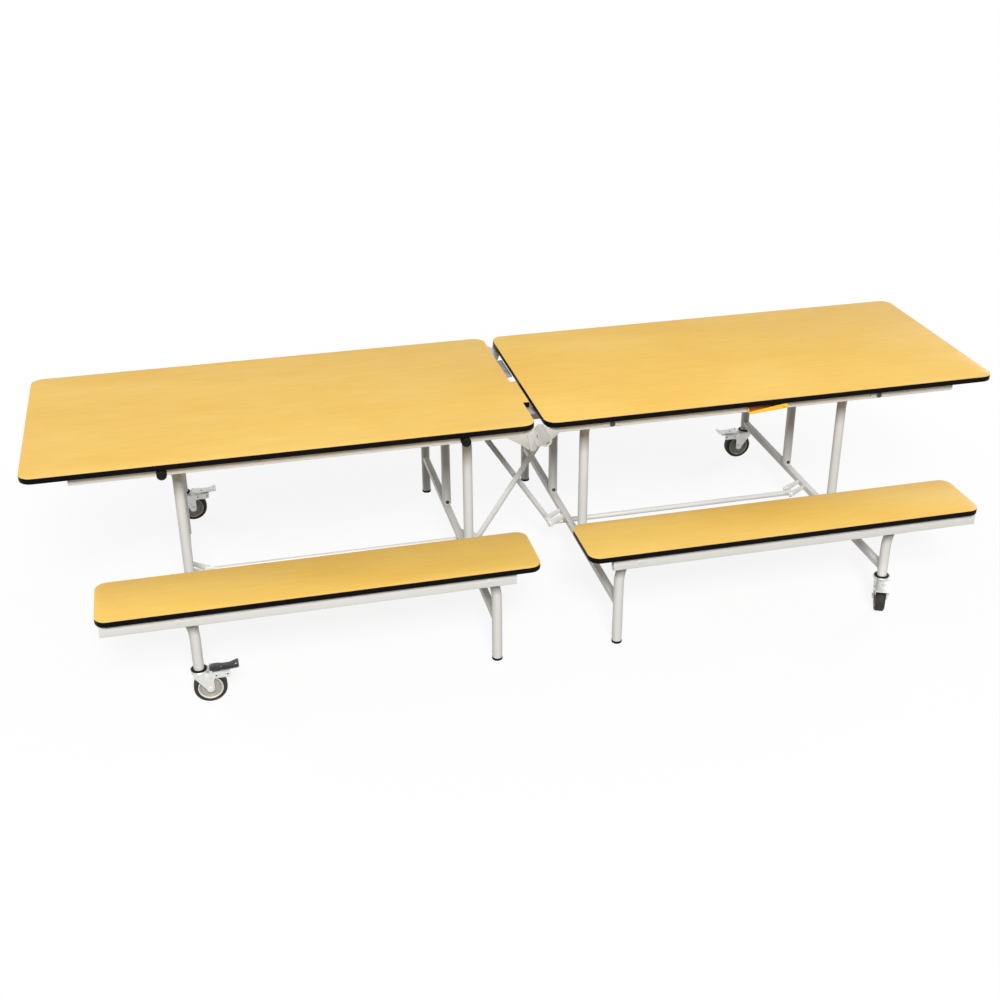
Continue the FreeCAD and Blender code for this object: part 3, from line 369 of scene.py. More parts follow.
def maple_laminate():
    """Printed maple: soft cloudy figure, fine grain along the top, matt sheen."""
    material, tree, shader = node_material("maple_laminate")
    clouds = tones(tree, noise(tree, 2.2, 4.0, (1.0, 2.6, 1.0)),
                   (0.30, (0.865, 0.534, 0.108)), (0.50, (0.890, 0.570, 0.131)),
                   (0.72, (0.912, 0.604, 0.160)))
    grain = tones(tree, noise(tree, 9.0, 6.0, (1.0, 26.0, 26.0)),
                  (0.34, (0.905, 0.885, 0.84)), (0.62, (1.0, 1.0, 1.0)))
    flecks = tones(tree, noise(tree, 34.0, 3.0, (1.0, 9.0, 9.0)),
                   (0.30, (0.90, 0.86, 0.78)), (0.42, (1.0, 1.0, 1.0)))
    figure = multiplied(tree, multiplied(tree, clouds, grain, 0.5), flecks, 0.35)
    fed(tree, shader, {"Base Color": figure, "Roughness": gloss_drift(tree, 14.0, 4.0, 0.46, 0.58),
                       "Normal": relief(tree, 1400.0, 0.00002, 0.35), "Specular IOR Level": 0.25})
    return material


def mottled(name, low, high, scale, gloss, relief_scale, depth, metal=0.0, coat=0.0, shine=0.5):
    """A finish whose tone and gloss drift a little, with a fine relief."""
    material, tree, shader = node_material(name)
    tone = tones(tree, noise(tree, scale, 4.0), (0.32, low), (0.68, high))
    fed(tree, shader, {"Base Color": tone, "Roughness": gloss_drift(tree, scale * 2.3, 3.0, *gloss),
                       "Normal": relief(tree, relief_scale, depth, 0.5), "Metallic": metal,
                       "Coat Weight": coat, "Coat Roughness": 0.25, "Specular IOR Level": shine})
    return material


MAPLE = maple_laminate()
BROWN_CORE = mottled("laminate_core", (0.235, 0.165, 0.140), (0.300, 0.220, 0.195), 60.0,
                     (0.5, 0.65), 900.0, 0.00003)
BACKING = mottled("backing_sheet", (0.40, 0.34, 0.26), (0.47, 0.41, 0.33), 7.0,
                  (0.60, 0.72), 700.0, 0.00003)
CHIPBOARD = mottled("chipboard_edge", (0.30, 0.19, 0.09), (0.56, 0.40, 0.22), 320.0,
                    (0.8, 0.95), 500.0, 0.0002)
EDGE_BLACK = mottled("black_edging", (0.0025, 0.0022, 0.0025), (0.005, 0.0045, 0.0048), 22.0,
                     (0.34, 0.46), 700.0, 0.00003, shine=0.05)


def left_band():
    """The left top's band stops at the tab, whose two ends are edged."""
    shell = edge_band(LEFT_TOP_XS, TOP_YS, TABLE_TOP, TOP_CORNER)
    for y in (TAB_YS[0] + BAND, TAB_YS[1] - BAND):
        cut_across(shell, (0.0, y, 0.0), (0.0, 1.0, 0.0))
    behind_tab = [face for face in shell.faces if face.calc_center_median().x > LEFT_TOP_XS[1] - 2.0 * BAND
                  and TAB_YS[0] + BAND < face.calc_center_median().y < TAB_YS[1] - BAND]
    bmesh.ops.delete(shell, geom=behind_tab, context="FACES")
    bmesh.ops.holes_fill(shell, edges=[edge for edge in shell.edges if edge.is_boundary], sides=0)
    piece = bmesh.new()
    joined(piece, shell)
    for low, high in ((TAB_YS[0], TAB_YS[0] + BAND), (TAB_YS[1] - BAND, TAB_YS[1])):
        end = box((LEFT_TOP_XS[1], low, TABLE_TOP - PANEL),
                  (LEFT_TOP_XS[1] + TAB_REACH, high, TABLE_TOP - LAMINATE - SEAM))
        bevelled(end, end.edges[:], 0.5, 2)
        joined(piece, end)
    return piece


PANEL_FINISHES = (MAPLE, BROWN_CORE, BACKING, CHIPBOARD, EDGE_BLACK)
finished("right_top_panel", panel(TOP_XS, TOP_YS, TABLE_TOP, TOP_CORNER), RIGHT, "right_top",
         PANEL_FINISHES, "right_top_board")
finished("left_top_panel", panel(LEFT_TOP_XS, TOP_YS, TABLE_TOP, TOP_CORNER, (TAB_REACH, TAB_YS)), RIGHT,
         "left_top", PANEL_FINISHES, "left_top_board")
right_band = bmesh.new()
joined(right_band, edge_band(TOP_XS, TOP_YS, TABLE_TOP, TOP_CORNER))
finished("right_top_band", right_band, RIGHT, "right_top", (EDGE_BLACK,), "right_top_edge")
finished("left_top_band", left_band(), RIGHT, "left_top", (EDGE_BLACK,), "left_top_edge")


# ---- Rails under the tops ----------------------------------------------------
# Two long box tubes under each top with three cross tubes welded between them,
# powder-coated light grey and screwed up into the panel from below.
FRONT, REAR = -1, 1
SIDE_NAMES = {LEFT: "left", RIGHT: "right"}
RAIL_XS = (29.5, 1419.5)
RAIL_OUTER, RAIL_INNER = 352.0, 327.0
UNDERSIDE = TABLE_TOP - PANEL
RAIL_BOTTOM = 646.0
CROSS_STARTS = (49.5, 714.5, 1379.5)
CROSS = 20.0
TUBE_WALL = 2.0
RAIL_SCREWS = (96.0, 320.0, 560.0, 650.0, 900.0, 1010.0, 1230.0, 1390.0)
BRACE_LUG = (176.8, 609.4, 11.0)
BRACE_LUG_YS = ((-49.0, -45.0), (-37.0, -33.0))
LUG_WELD_XS = (156.0, 197.0)
PAINT = mottled("grey_paint", (0.690, 0.680, 0.645), (0.735, 0.728, 0.698), 5.0,
                (0.34, 0.46), 1100.0, 0.00006, coat=0.15)
SCREW_STEEL = mottled("screw_steel", (0.05, 0.048, 0.045), (0.10, 0.096, 0.09), 260.0,
                      (0.35, 0.5), 1500.0, 0.00004, metal=0.6)


def box_tube(low, high, axis, corner, open_ends=True):
    """Box tube along one axis with rounded corners, open at its ends or closed."""
    shell = box(low, high)
    bevelled(shell, edges_along(shell, axis), corner, 4)
    if open_ends:
        ends = faces_towards(shell, axis, 1) + faces_towards(shell, axis, -1)
        opened(shell, ends, (TUBE_WALL, TUBE_WALL))
    return shell


def bead(path, radius, seed, closed=True):
    """Rippled weld bead along a path of points."""
    draw = random.Random(seed)
    corners = [Vector(point) for point in path]
    if closed:
        corners.append(corners[0])
    points = []
    for start, end in zip(corners, corners[1:]):
        count = max(1, round((end - start).length / 1.6))
        points.extend(start.lerp(end, step / count) for step in range(count))
    if not closed:
        points.append(corners[-1])
    curve = bpy.data.curves.new("bead", "CURVE")
    curve.dimensions = "3D"
    curve.bevel_depth = radius
    curve.bevel_resolution = 1
    curve.use_fill_caps = True
    spline = curve.splines.new("POLY")
    spline.points.add(len(points) - 1)
    for index, point in enumerate(points):
        spline.points[index].co = (*point, 1.0)
        spline.points[index].radius = 1.0 + 0.16 * math.sin(index * 1.9) + draw.uniform(-0.12, 0.12)
    spline.use_cyclic_u = closed
    holder = bpy.data.objects.new("bead", curve)
    mesh = bpy.data.meshes.new_from_object(holder)
    shell = bmesh.new()
    shell.from_mesh(mesh)
    bpy.data.objects.remove(holder)
    bpy.data.curves.remove(curve)
    bpy.data.meshes.remove(mesh)
    return shell


def facing(place, heading):
    """Moves what is drawn along Z to a place and turns it to a heading."""
    turn = Vector((0.0, 0.0, 1.0)).rotation_difference(Vector(heading))
    return Matrix.Translation(place) @ turn.to_matrix().to_4x4()


def screw(piece, place, radius=4.0, height=2.2):
    """Screw head with its socket, facing down."""
    shell = bmesh.new()
    bmesh.ops.create_cone(shell, cap_ends=True, segments=20, radius1=radius, radius2=radius * 0.8,
                          depth=height, matrix=Matrix.Translation((0.0, 0.0, height / 2)))
    bevelled(shell, rim(shell, height), height * 0.4, 3)
    top = max(shell.faces, key=lambda face: face.calc_center_median().z)
    bmesh.ops.inset_region(shell, faces=[top], thickness=radius * 0.22)
    pushed(shell, [top], (0.0, 0.0, -height * 0.45))
    joined(piece, shell, 1, facing(place, (0.0, 0.0, -1.0)))


def hanging_bead(piece, xs, y, top, margin, radius, seed):
    """Weld bead round the end of a cross tube or block that hangs from a panel."""
    low = top - CROSS - margin
    path = [(xs[0] - margin, y, top - 1.0), (xs[0] - margin, y, low),
            (xs[1] + margin, y, low), (xs[1] + margin, y, top - 1.0)]
    joined(piece, bead(path, radius, seed, closed=False))


def arc(x, z, radius, start, end, step=15):
    """Points of an arc round a centre, from one angle to another in degrees."""
    count = max(2, round(abs(end - start) / step))
    turns = [math.radians(start + (end - start) * part / count) for part in range(count + 1)]
    return [(x + radius * math.cos(turn), z + radius * math.sin(turn)) for turn in turns]


def lug_outline(x, z, radius, foot_z, foot_half):
    """Lug that is round at its bolt and widens to its foot."""
    return arc(x, z, radius, 180, 360, 12) + [(x + foot_half, foot_z), (x - foot_half, foot_z)]


def sharp_edges(shell, degrees=50.0):
    limit = math.radians(degrees)
    return [edge for edge in shell.edges if len(edge.link_faces) == 2 and edge.calc_face_angle() > limit]


def plate(outline, ys, edge):
    """Flat plate with the given outline in X and Z and eased edges."""
    shell = bmesh.new()
    corners = [shell.verts.new((x, ys[0], z)) for x, z in outline]
    face = shell.faces.new(corners)
    grown = bmesh.ops.extrude_face_region(shell, geom=[face], use_keep_orig=True)
    bmesh.ops.translate(shell, verts=new_verts(grown), vec=(0.0, ys[1] - ys[0], 0.0))
    bmesh.ops.recalc_face_normals(shell, faces=shell.faces)
    if edge:
        bevelled(shell, sharp_edges(shell), edge, 2)
    return shell


def top_rails():
    piece = bmesh.new()
    for depth in (FRONT, REAR):
        ys = sorted((depth * RAIL_OUTER, depth * RAIL_INNER))
        joined(piece, box_tube((RAIL_XS[0], ys[0], RAIL_BOTTOM), (RAIL_XS[1], ys[1], UNDERSIDE), 0, 3.0))
        for x in RAIL_SCREWS:
            screw(piece, (x, depth * (RAIL_OUTER + RAIL_INNER) / 2, RAIL_BOTTOM))
        for number, x in enumerate(CROSS_STARTS):
            hanging_bead(piece, (x, x + CROSS), depth * RAIL_INNER, UNDERSIDE, 0.6, 2.0, 10 + number)
    for x in CROSS_STARTS:
        joined(piece, box_tube((x, -RAIL_INNER, UNDERSIDE - CROSS), (x + CROSS, RAIL_INNER, UNDERSIDE),
                               1, 2.5, open_ends=False))
        for y in (-240.0, 0.0, 240.0):
            screw(piece, (x + CROSS / 2, y, UNDERSIDE - CROSS))
    for ys, weld_y in zip(BRACE_LUG_YS, (BRACE_LUG_YS[0][1], BRACE_LUG_YS[1][0])):
        joined(piece, plate(lug_outline(*BRACE_LUG, UNDERSIDE, 22.0), ys, 0.5))
        joined(piece, bead([(x, weld_y, UNDERSIDE - 0.5) for x in LUG_WELD_XS], 1.6, 31, closed=False))
    return piece


for side in (LEFT, RIGHT):
    name = SIDE_NAMES[side]
    finished(name + "_top_steelwork", top_rails(), side, name + "_top",
             (PAINT, SCREW_STEEL), name + "_top_rails")


# ---- Benches -----------------------------------------------------------------
# Narrow panels made like the tops, each on two upright box rails with a short
# block welded between them, and screwed up into the panel from below.
DEPTH_NAMES = {FRONT: "front", REAR: "rear"}
BENCH_XS = (75.0, 1381.0)
BENCH_Y = 570.0
BENCH_HALF_WIDTH = 112.0
BENCH_TOP = 371.0
BENCH_UNDERSIDE = BENCH_TOP - PANEL
BENCH_RAIL_XS = (152.0, 1372.0)
BENCH_RAIL_BOTTOM = 312.0
BENCH_RAIL_OFFSET = 88.0
BENCH_RAIL_HALF = 10.0
BENCH_SCREWS = (200.0, 420.0, 640.0, 860.0, 1060.0, 1330.0)
BENCH_CORNER = 36.0
BLOCK_XS = (684.5, 704.5)


def bench_rails(depth):
    piece = bmesh.new()
    inner = BENCH_RAIL_OFFSET - BENCH_RAIL_HALF
    for step in (-1, 1):
        middle = depth * BENCH_Y + step * BENCH_RAIL_OFFSET
        joined(piece, box_tube((BENCH_RAIL_XS[0], middle - BENCH_RAIL_HALF, BENCH_RAIL_BOTTOM),
                               (BENCH_RAIL_XS[1], middle + BENCH_RAIL_HALF, BENCH_UNDERSIDE), 0, 2.5))
        for x in BENCH_SCREWS:
            screw(piece, (x, middle, BENCH_RAIL_BOTTOM), 3.6, 2.0)
    y = depth * BENCH_Y
    joined(piece, box_tube((BLOCK_XS[0], y - inner, BENCH_UNDERSIDE - CROSS),
                           (BLOCK_XS[1], y + inner, BENCH_UNDERSIDE), 1, 2.0, open_ends=False))
    for step in (-1, 1):
        hanging_bead(piece, BLOCK_XS, y + step * inner, BENCH_UNDERSIDE, 0.5, 1.8, 40 + step)
    return piece


for side in (LEFT, RIGHT):
    for depth in (FRONT, REAR):
        name = "bench_" + SIDE_NAMES[side] + "_" + DEPTH_NAMES[depth]
        y = depth * side * BENCH_Y
        ys = (y - BENCH_HALF_WIDTH, y + BENCH_HALF_WIDTH)
        finished(name + "_panel", panel(BENCH_XS, ys, BENCH_TOP, BENCH_CORNER), side, name,
                 PANEL_FINISHES, name + "_board")
        band = bmesh.new()
        joined(band, edge_band(BENCH_XS, ys, BENCH_TOP, BENCH_CORNER))
        finished(name + "_band", band, side, name, (EDGE_BLACK,), name + "_edge")
        finished(name + "_steelwork", bench_rails(depth * side), side, name,
                 (PAINT, SCREW_STEEL), name + "_rails")


# ---- Leg frames --------------------------------------------------------------
# Round tubes bent outwards at the top and welded to the pivot tubes that carry
# the tops and benches, with a square beam welded across between the posts and
# two arms on it for the link bar.  The risers slide over stubs and are bolted.
MID_X, END_X = 197.0, 1112.0
POST_Y, RISER_Y = 591.0, 187.0
TUBE = 16.0
BEND = 180.0
SPREAD = 40.0
BEND_TURN = math.acos(1.0 - SPREAD / BEND)
PIVOT_TUBE = 12.5
TOP_PIVOT_Z, BENCH_PIVOT_Z = 658.0, 332.0
BEAM_Z, BEAM_HALF = 144.0, 11.0
LINK_BOLT_IN, LINK_BOLT_Z = 56.0, 120.0
LINK_ARM_YS = ((7.0, 11.0), (51.0, 55.0))
LINK_ARM_FOOT = (135.5, 152.5)
RISER_BOLT_Z = 166.0
FOOT_SEAT, CUP_SEAT = 9.0, 116.0
PIN = 6.0
PIVOT_PLATE = 3.0
ZINC = mottled("zinc_plate", (0.70, 0.71, 0.69), (0.82, 0.83, 0.81), 70.0,
               (0.30, 0.46), 900.0, 0.00005, metal=0.6)
SEAL_BLACK = mottled("black_seal", (0.006, 0.006, 0.006), (0.014, 0.0135, 0.013), 40.0,
                     (0.45, 0.6), 800.0, 0.00005, shine=0.15)
DARK_STEEL = mottled("dark_steel", (0.045, 0.044, 0.043), (0.085, 0.083, 0.080), 60.0,
                     (0.30, 0.45), 900.0, 0.00004, metal=0.7)


def rod(start, end, radius, edge=0.6, steps=32):
    """Round bar between two points with eased rims."""
    start, end = Vector(start), Vector(end)
    run = end - start
    shell = bmesh.new()
    bmesh.ops.create_cone(shell, cap_ends=True, segments=steps, radius1=radius, radius2=radius,
                          depth=run.length)
    if edge:
        bevelled(shell, sharp_edges(shell, 70.0), edge, 2)
    shell.transform(facing((start + end) / 2, run))
    return shell


def cross_rod(x, z, ys, radius, edge=0.6, steps=32):
    """Round bar that lies across the table."""
    return rod((x, ys[0], z), (x, ys[1], z), radius, edge, steps)


def bent_tube(x, y, bottom, pivot_z):
    """Upright tube whose top bends outwards to its pivot."""
    shell = bmesh.new()
    bend_z = pivot_z - BEND * math.sin(BEND_TURN)
    bmesh.ops.create_circle(shell, cap_ends=True, segments=32, radius=TUBE,
                            matrix=Matrix.Translation((x, y, bottom)))
    top = shell.edges[:]
    verts = new_verts(bmesh.ops.extrude_edge_only(shell, edges=top))
    bmesh.ops.translate(shell, verts=verts, vec=(0.0, 0.0, bend_z - bottom))
    ring = [edge for edge in shell.edges if all(vert in verts for vert in edge.verts)]
    turned = bmesh.ops.spin(shell, geom=ring, cent=(x + BEND, y, bend_z), axis=(0.0, 1.0, 0.0),
                            angle=BEND_TURN, steps=12)
    last = [item for item in turned["geom_last"] if isinstance(item, bmesh.types.BMEdge)]
    bmesh.ops.contextual_create(shell, geom=last)
    return shell


def saddle_bead(x, y, pivot_z, seed):
    """Bead where a leg's end is shaped round its pivot tube."""
    along = Vector((math.sin(BEND_TURN), 0.0, math.cos(BEND_TURN)))
    across = Vector((math.cos(BEND_TURN), 0.0, -math.sin(BEND_TURN)))
    centre = Vector((x + SPREAD, y, pivot_z))
    path = []
    for sign in (1, -1):
        for step in range(13):
            turn = math.radians(step * 15.0)
            if sign < 0:
                turn = math.pi - turn
            wide = PIVOT_TUBE * math.cos(turn)
            reach = math.sqrt(TUBE ** 2 - wide ** 2)
            path.append(centre + across * wide - along * PIVOT_TUBE * math.sin(turn)
                        + Vector((0.0, sign * reach, 0.0)))
    return bead(path, 1.9, seed)


def beam_bead(x, depth, seed):
    """Bead round the beam's end where it meets the post."""
    path = []
    half = BEAM_HALF + 0.4
    outline = [(-half, -half + 2), (-half, half - 2), (-half + 2, half), (half - 2, half),
               (half, half - 2), (half, -half + 2), (half - 2, -half), (-half + 2, -half)]
    for start, end in zip(outline, outline[1:] + outline[:1]):
        for part in (0.0, 0.25, 0.5, 0.75):
            across = start[0] + (end[0] - start[0]) * part
            high = start[1] + (end[1] - start[1]) * part
            inward = math.sqrt(TUBE ** 2 - across ** 2)
            path.append((x + across, depth * (POST_Y - inward), BEAM_Z + high))
    return bead(path, 2.0, seed)


def leg_tubes(x, bottom):
    piece = bmesh.new()
    pivot_x = x + SPREAD
    for depth in (FRONT, REAR):
        y = depth * POST_Y
        joined(piece, bent_tube(x, y, bottom, BENCH_PIVOT_Z))
        joined(piece, saddle_bead(x, y, BENCH_PIVOT_Z, 50 + depth))
        middle = depth * BENCH_Y
        reach = BENCH_RAIL_OFFSET - BENCH_RAIL_HALF - 0.5
        joined(piece, cross_rod(pivot_x, BENCH_PIVOT_Z, (middle - reach, middle + reach), PIVOT_TUBE))
        y = depth * RISER_Y
        joined(piece, bent_tube(x, y, BEAM_Z + BEAM_HALF, TOP_PIVOT_Z))
        joined(piece, saddle_bead(x, y, TOP_PIVOT_Z, 60 + depth))
    reach = RAIL_INNER - 0.5
    joined(piece, cross_rod(pivot_x, TOP_PIVOT_Z, (-reach, reach), PIVOT_TUBE))
    return piece


def link_arm_outline(x):
    """Arm from the beam's face to the round end at the link's bolt."""
    foot_x = x - BEAM_HALF + 1.0
    round_end = arc(x - LINK_BOLT_IN, LINK_BOLT_Z, 12.0, 100, 280, 12)
    return [(foot_x, LINK_ARM_FOOT[1])] + round_end + [(foot_x, LINK_ARM_FOOT[0])]


def cross_beam(x):
    piece = bmesh.new()
    reach = POST_Y - 9.0
    joined(piece, box_tube((x - BEAM_HALF, -reach, BEAM_Z - BEAM_HALF),
                           (x + BEAM_HALF, reach, BEAM_Z + BEAM_HALF), 1, 2.5, open_ends=False))
    for depth in (FRONT, REAR):
        joined(piece, beam_bead(x, depth, 70 + depth))
    for ys in LINK_ARM_YS:
        joined(piece, plate(link_arm_outline(x), ys, 0.6))
        for y in ys:
            joined(piece, bead([(x - BEAM_HALF, y, z) for z in LINK_ARM_FOOT], 1.5, 80, closed=False))
    return piece


def hex_head(piece, place, outward, radius, height):
    """Hexagon head or nut on its washer, facing the front or the rear."""
    move = facing(place, (0.0, outward, 0.0))
    joined(piece, rod((0.0, 0.0, 0.0), (0.0, 0.0, 1.2), radius, 0.3, 28), 0, move)
    shell = bmesh.new()
    bmesh.ops.create_cone(shell, cap_ends=True, segments=6, radius1=radius * 0.94, radius2=radius * 0.94,
                          depth=height - 1.2, matrix=Matrix.Translation((0.0, 0.0, (height + 1.2) / 2)))
    bevelled(shell, rim(shell, height), 0.8, 3)
    joined(piece, shell, 0, move)


def lathe(profile, steps=48, closed=False):
    """Turns a profile of radii and heights about the Z axis."""
    shell = bmesh.new()
    verts = [shell.verts.new((radius, 0.0, height)) for radius, height in profile]
    pairs = list(zip(verts, verts[1:])) + ([(verts[-1], verts[0])] if closed else [])
    edges = [shell.edges.new(pair) for pair in pairs]
    bmesh.ops.spin(shell, geom=verts + edges, cent=(0.0, 0.0, 0.0), axis=(0.0, 0.0, 1.0),
                   angle=2.0 * math.pi, steps=steps, use_merge=True)
    return shell


def pin_head(piece, place, outward, radius, height, finish=0):
    """Low domed head of a pivot pin, facing the front or the rear."""
    dome = lathe([(0.0, 0.0), (radius, 0.0), (radius, height * 0.45), (radius * 0.93, height * 0.75),
                  (radius * 0.72, height * 0.95), (radius * 0.4, height), (0.0, height)], 28)
    joined(piece, dome, finish, facing(place, (0.0, outward, 0.0)))


def caster_cup(piece, place):
    """Zinc cup under a post with its black seal."""
    cup = [(15.0, 111.0), (26.0, 111.0), (27.0, 111.8), (27.0, 113.0), (26.2, 113.9), (15.0, 113.9)]
    seal = [(15.0, 113.4), (23.6, 113.4), (24.2, 114.4), (23.8, 116.0), (22.4, 116.9), (16.1, 117.0),
            (15.0, 115.0)]
    joined(piece, lathe(cup, 48, closed=True), 0, Matrix.Translation(place))
    joined(piece, lathe(seal, 48, closed=True), 3, Matrix.Translation(place))


def frame_fasteners(side, x, casters):
    """Bolts, pivot pins and, on the end frames, the cups of the casters. Finishes:
    0 is the zinc, 1 the dark steel, 2 the paint and 3 the black of the seals.
    """
    piece = bmesh.new()
    pivot_x = x + SPREAD
    bolt_x = x - LINK_BOLT_IN
    bolt_ys = (LINK_ARM_YS[0][0], LINK_ARM_YS[1][1])
    joined(piece, cross_rod(bolt_x, LINK_BOLT_Z, bolt_ys, 5.0, 0.0, 20))
    for y, outward in zip(bolt_ys, (-1, 1)):
        hex_head(piece, (bolt_x, y, LINK_BOLT_Z), outward, 8.5, 5.5)
    for depth in (FRONT, REAR):
        for step in (-1, 1):
            pin_head(piece, (x, depth * RISER_Y + step * (TUBE - 0.8), RISER_BOLT_Z), step, 6.5, 3.3, 1)
            rail_y = depth * BENCH_Y + step * (BENCH_RAIL_OFFSET + BENCH_RAIL_HALF)
            inner_y = rail_y - step * (2.0 * BENCH_RAIL_HALF + 1.0)
            joined(piece, cross_rod(pivot_x, BENCH_PIVOT_Z, (inner_y, rail_y + step * 0.5), PIN, 0.0, 24), 2)
            pin_head(piece, (pivot_x, rail_y, BENCH_PIVOT_Z), step, 8.0, 1.4, 2)
        outer = RAIL_OUTER + 0.5 + (PIVOT_PLATE if side == RIGHT else 0.0)
        joined(piece, cross_rod(pivot_x, TOP_PIVOT_Z, (depth * (RAIL_INNER - 2.0), depth * outer),
                                PIN, 0.0, 24), 1)
        if side == RIGHT:
            pin_head(piece, (pivot_x, depth * outer, TOP_PIVOT_Z), depth, 9.0, 2.5, 1)
        if casters:
            caster_cup(piece, (x, depth * POST_Y, 0.0))
    return piece


for side in (LEFT, RIGHT):
    for place, x, bottom in (("mid", MID_X, FOOT_SEAT), ("end", END_X, CUP_SEAT)):
        name = SIDE_NAMES[side] + "_" + place
        body = name + "_frame"
        finished(name + "_frame_tubes", leg_tubes(x, bottom), side, body, (PAINT,),
                 name + "_legs")
        finished(name + "_frame_beam", cross_beam(x), side, body, (PAINT,), name + "_beam")
        finished(name + "_frame_fasteners", frame_fasteners(side, x, place == "end"), side, body,
                 (ZINC, DARK_STEEL, PAINT, SEAL_BLACK), name + "_hardware")


# ---- Feet --------------------------------------------------------------------
# Black rubber caps pushed into the ends of the middle frames' posts, with a
# rounded lip that stands a little proud of the tube.
RUBBER = mottled("black_rubber", (0.006, 0.006, 0.006), (0.014, 0.0135, 0.013), 40.0,
                 (0.55, 0.75), 800.0, 0.00006, shine=0.1)


def rubber_feet():
    piece = bmesh.new()
    for depth in (FRONT, REAR):
        cap = lathe([(0.0, 1.2), (11.0, 1.2), (12.0, 0.0), (15.2, 0.0), (16.2, 0.5), (16.8, 1.8),
                     (16.8, 7.4), (16.5, 8.6), (15.6, 9.2), (0.0, 9.2)])
        joined(piece, cap, 0, Matrix.Translation((MID_X, depth * POST_Y, 0.0)))
    return piece


for side in (LEFT, RIGHT):
    name = SIDE_NAMES[side] + "_mid"
    finished(name + "_rubber_feet", rubber_feet(), side, name + "_frame", (RUBBER,),
             name + "_feet")


# ---- Link bars and braces ----------------------------------------------------
# Round steel tubes squeezed flat at each end and drilled for a bolt, and coated
# like the frames.  The link bars join the beams and the braces cross between.
LINK_Y, LINK_RADIUS = 21.0, 9.0
BRACE_Y, BRACE_RADIUS = 41.0, 9.5
MID_BOLT = (MID_X - LINK_BOLT_IN, LINK_BOLT_Z)
END_BOLT = (END_X - LINK_BOLT_IN, LINK_BOLT_Z)
BRACE_TOP = (-176.797, 609.365)


def eyed_bar(start, end, radius, y):
    """Round bar squeezed flat at both ends into rounded eyes."""
    start, end = Vector((start[0], y, start[1])), Vector((end[0], y, end[1]))
    length = (end - start).length
    half_flat = 3.0
    eye = [(-11.0, 0.02), (-10.6, 3.0), (-9.0, 6.3), (-6.0, 9.2), (-3.0, 10.6), (0.0, 11.0),
           (7.0, 11.0), (12.0, 10.8)]
    sections = [(x, wide, half_flat if wide > 1.0 else 1.0) for x, wide in eye]
    sections += [(17.0, 10.4, 4.0), (22.0, 9.9, 5.6), (27.0, radius + 0.4, radius - 1.6),
                 (32.0, radius, radius)]
    sections += [(length - x, wide, flat) for x, wide, flat in reversed(sections)]
    shell = bmesh.new()
    aim = Matrix.Rotation(math.radians(90.0), 4, "Y")
    bmesh.ops.create_circle(shell, cap_ends=True, segments=24, radius=1.0, matrix=aim)
    ring = list(shell.verts)
    last_x, last_wide, last_flat = 0.0, 1.0, 1.0
    edges = shell.edges[:]
    for number, (x, wide, flat) in enumerate(sections):
        if number:
            ring = new_verts(bmesh.ops.extrude_edge_only(shell, edges=edges))
            edges = [edge for edge in shell.edges if all(vert in ring for vert in edge.verts)]
        bmesh.ops.translate(shell, verts=ring, vec=(x - last_x, 0.0, 0.0))
        bmesh.ops.scale(shell, verts=ring, vec=(1.0, flat / last_flat, wide / last_wide))
        last_x, last_wide, last_flat = x, wide, flat
    bmesh.ops.contextual_create(shell, geom=edges)
    run = end - start
    tilt = Matrix.Rotation(-math.atan2(run.z, run.x), 4, "Y")
    shell.transform(Matrix.Translation(start) @ tilt)
    return shell


for side in (LEFT, RIGHT):
    name = SIDE_NAMES[side]
    link = bmesh.new()
    joined(link, eyed_bar(MID_BOLT, END_BOLT, LINK_RADIUS, LINK_Y))
    finished(name + "_link_tube", link, side, name + "_link", (PAINT,), name + "_link_bar")
    brace = bmesh.new()
    joined(brace, eyed_bar(MID_BOLT, BRACE_TOP, BRACE_RADIUS, BRACE_Y))
    finished(name + "_brace_tube", brace, side, name + "_diagonal", (PAINT,), name + "_brace")


# ---- Centre hinge ------------------------------------------------------------
# Pressed steel at the front and rear edge.  The left half has a gusset and an
# upright blade, the right half a long tongue with a raised rim round a sunk
# panel, and one pin runs through them.  All is painted grey but the pin; the
# grey is darker than the frames' as painted shade under the tops, the sunk panel
# is darker still as painted shade of its recess, and a black mark is painted shade in a slot.
HINGE_Z = 625.0
ALONG_Y = Matrix.Rotation(math.radians(-90.0), 4, "X")
LAID_FLAT = Matrix.Rotation(math.radians(90.0), 4, "X")
GUSSET_YS = (347.0, 352.0)
BLADE_YS = (352.0, 355.5)
TONGUE_YS = (356.0, 360.0)
COVER_YS = (360.0, 364.0)
SPACER_XS, SPACER_ZS = (46.5, 61.5), (648.0, 674.0)
TONGUE_LOW = (18.0, 629.0, 21.0)
TONGUE_TOPS = {FRONT: (1.0, 671.0, 15.0), REAR: (1.0, 655.0, 13.0)}
# Black for the slot in the cover: painted shade, not a part.
SLOT_PAINTED_SHADE = mottled("black_plastic", (0.012, 0.012, 0.012), (0.022, 0.022, 0.022), 30.0,
                        (0.36, 0.5), 800.0, 0.00004)
# A darker copy of the frames' grey paint: painted shade under the tops.
HINGE_GREY_PAINTED_SHADE = mottled("hinge_paint", (0.53, 0.525, 0.50), (0.60, 0.595, 0.57), 12.0,
                      (0.30, 0.42), 900.0, 0.00005, coat=0.2)
# Darker still for the sunk panel: painted shade of its recess.
RECESS_PAINTED_SHADE = mottled("sunk_paint", (0.45, 0.445, 0.425), (0.52, 0.515, 0.49), 12.0,
                     (0.30, 0.42), 900.0, 0.00005, coat=0.2)


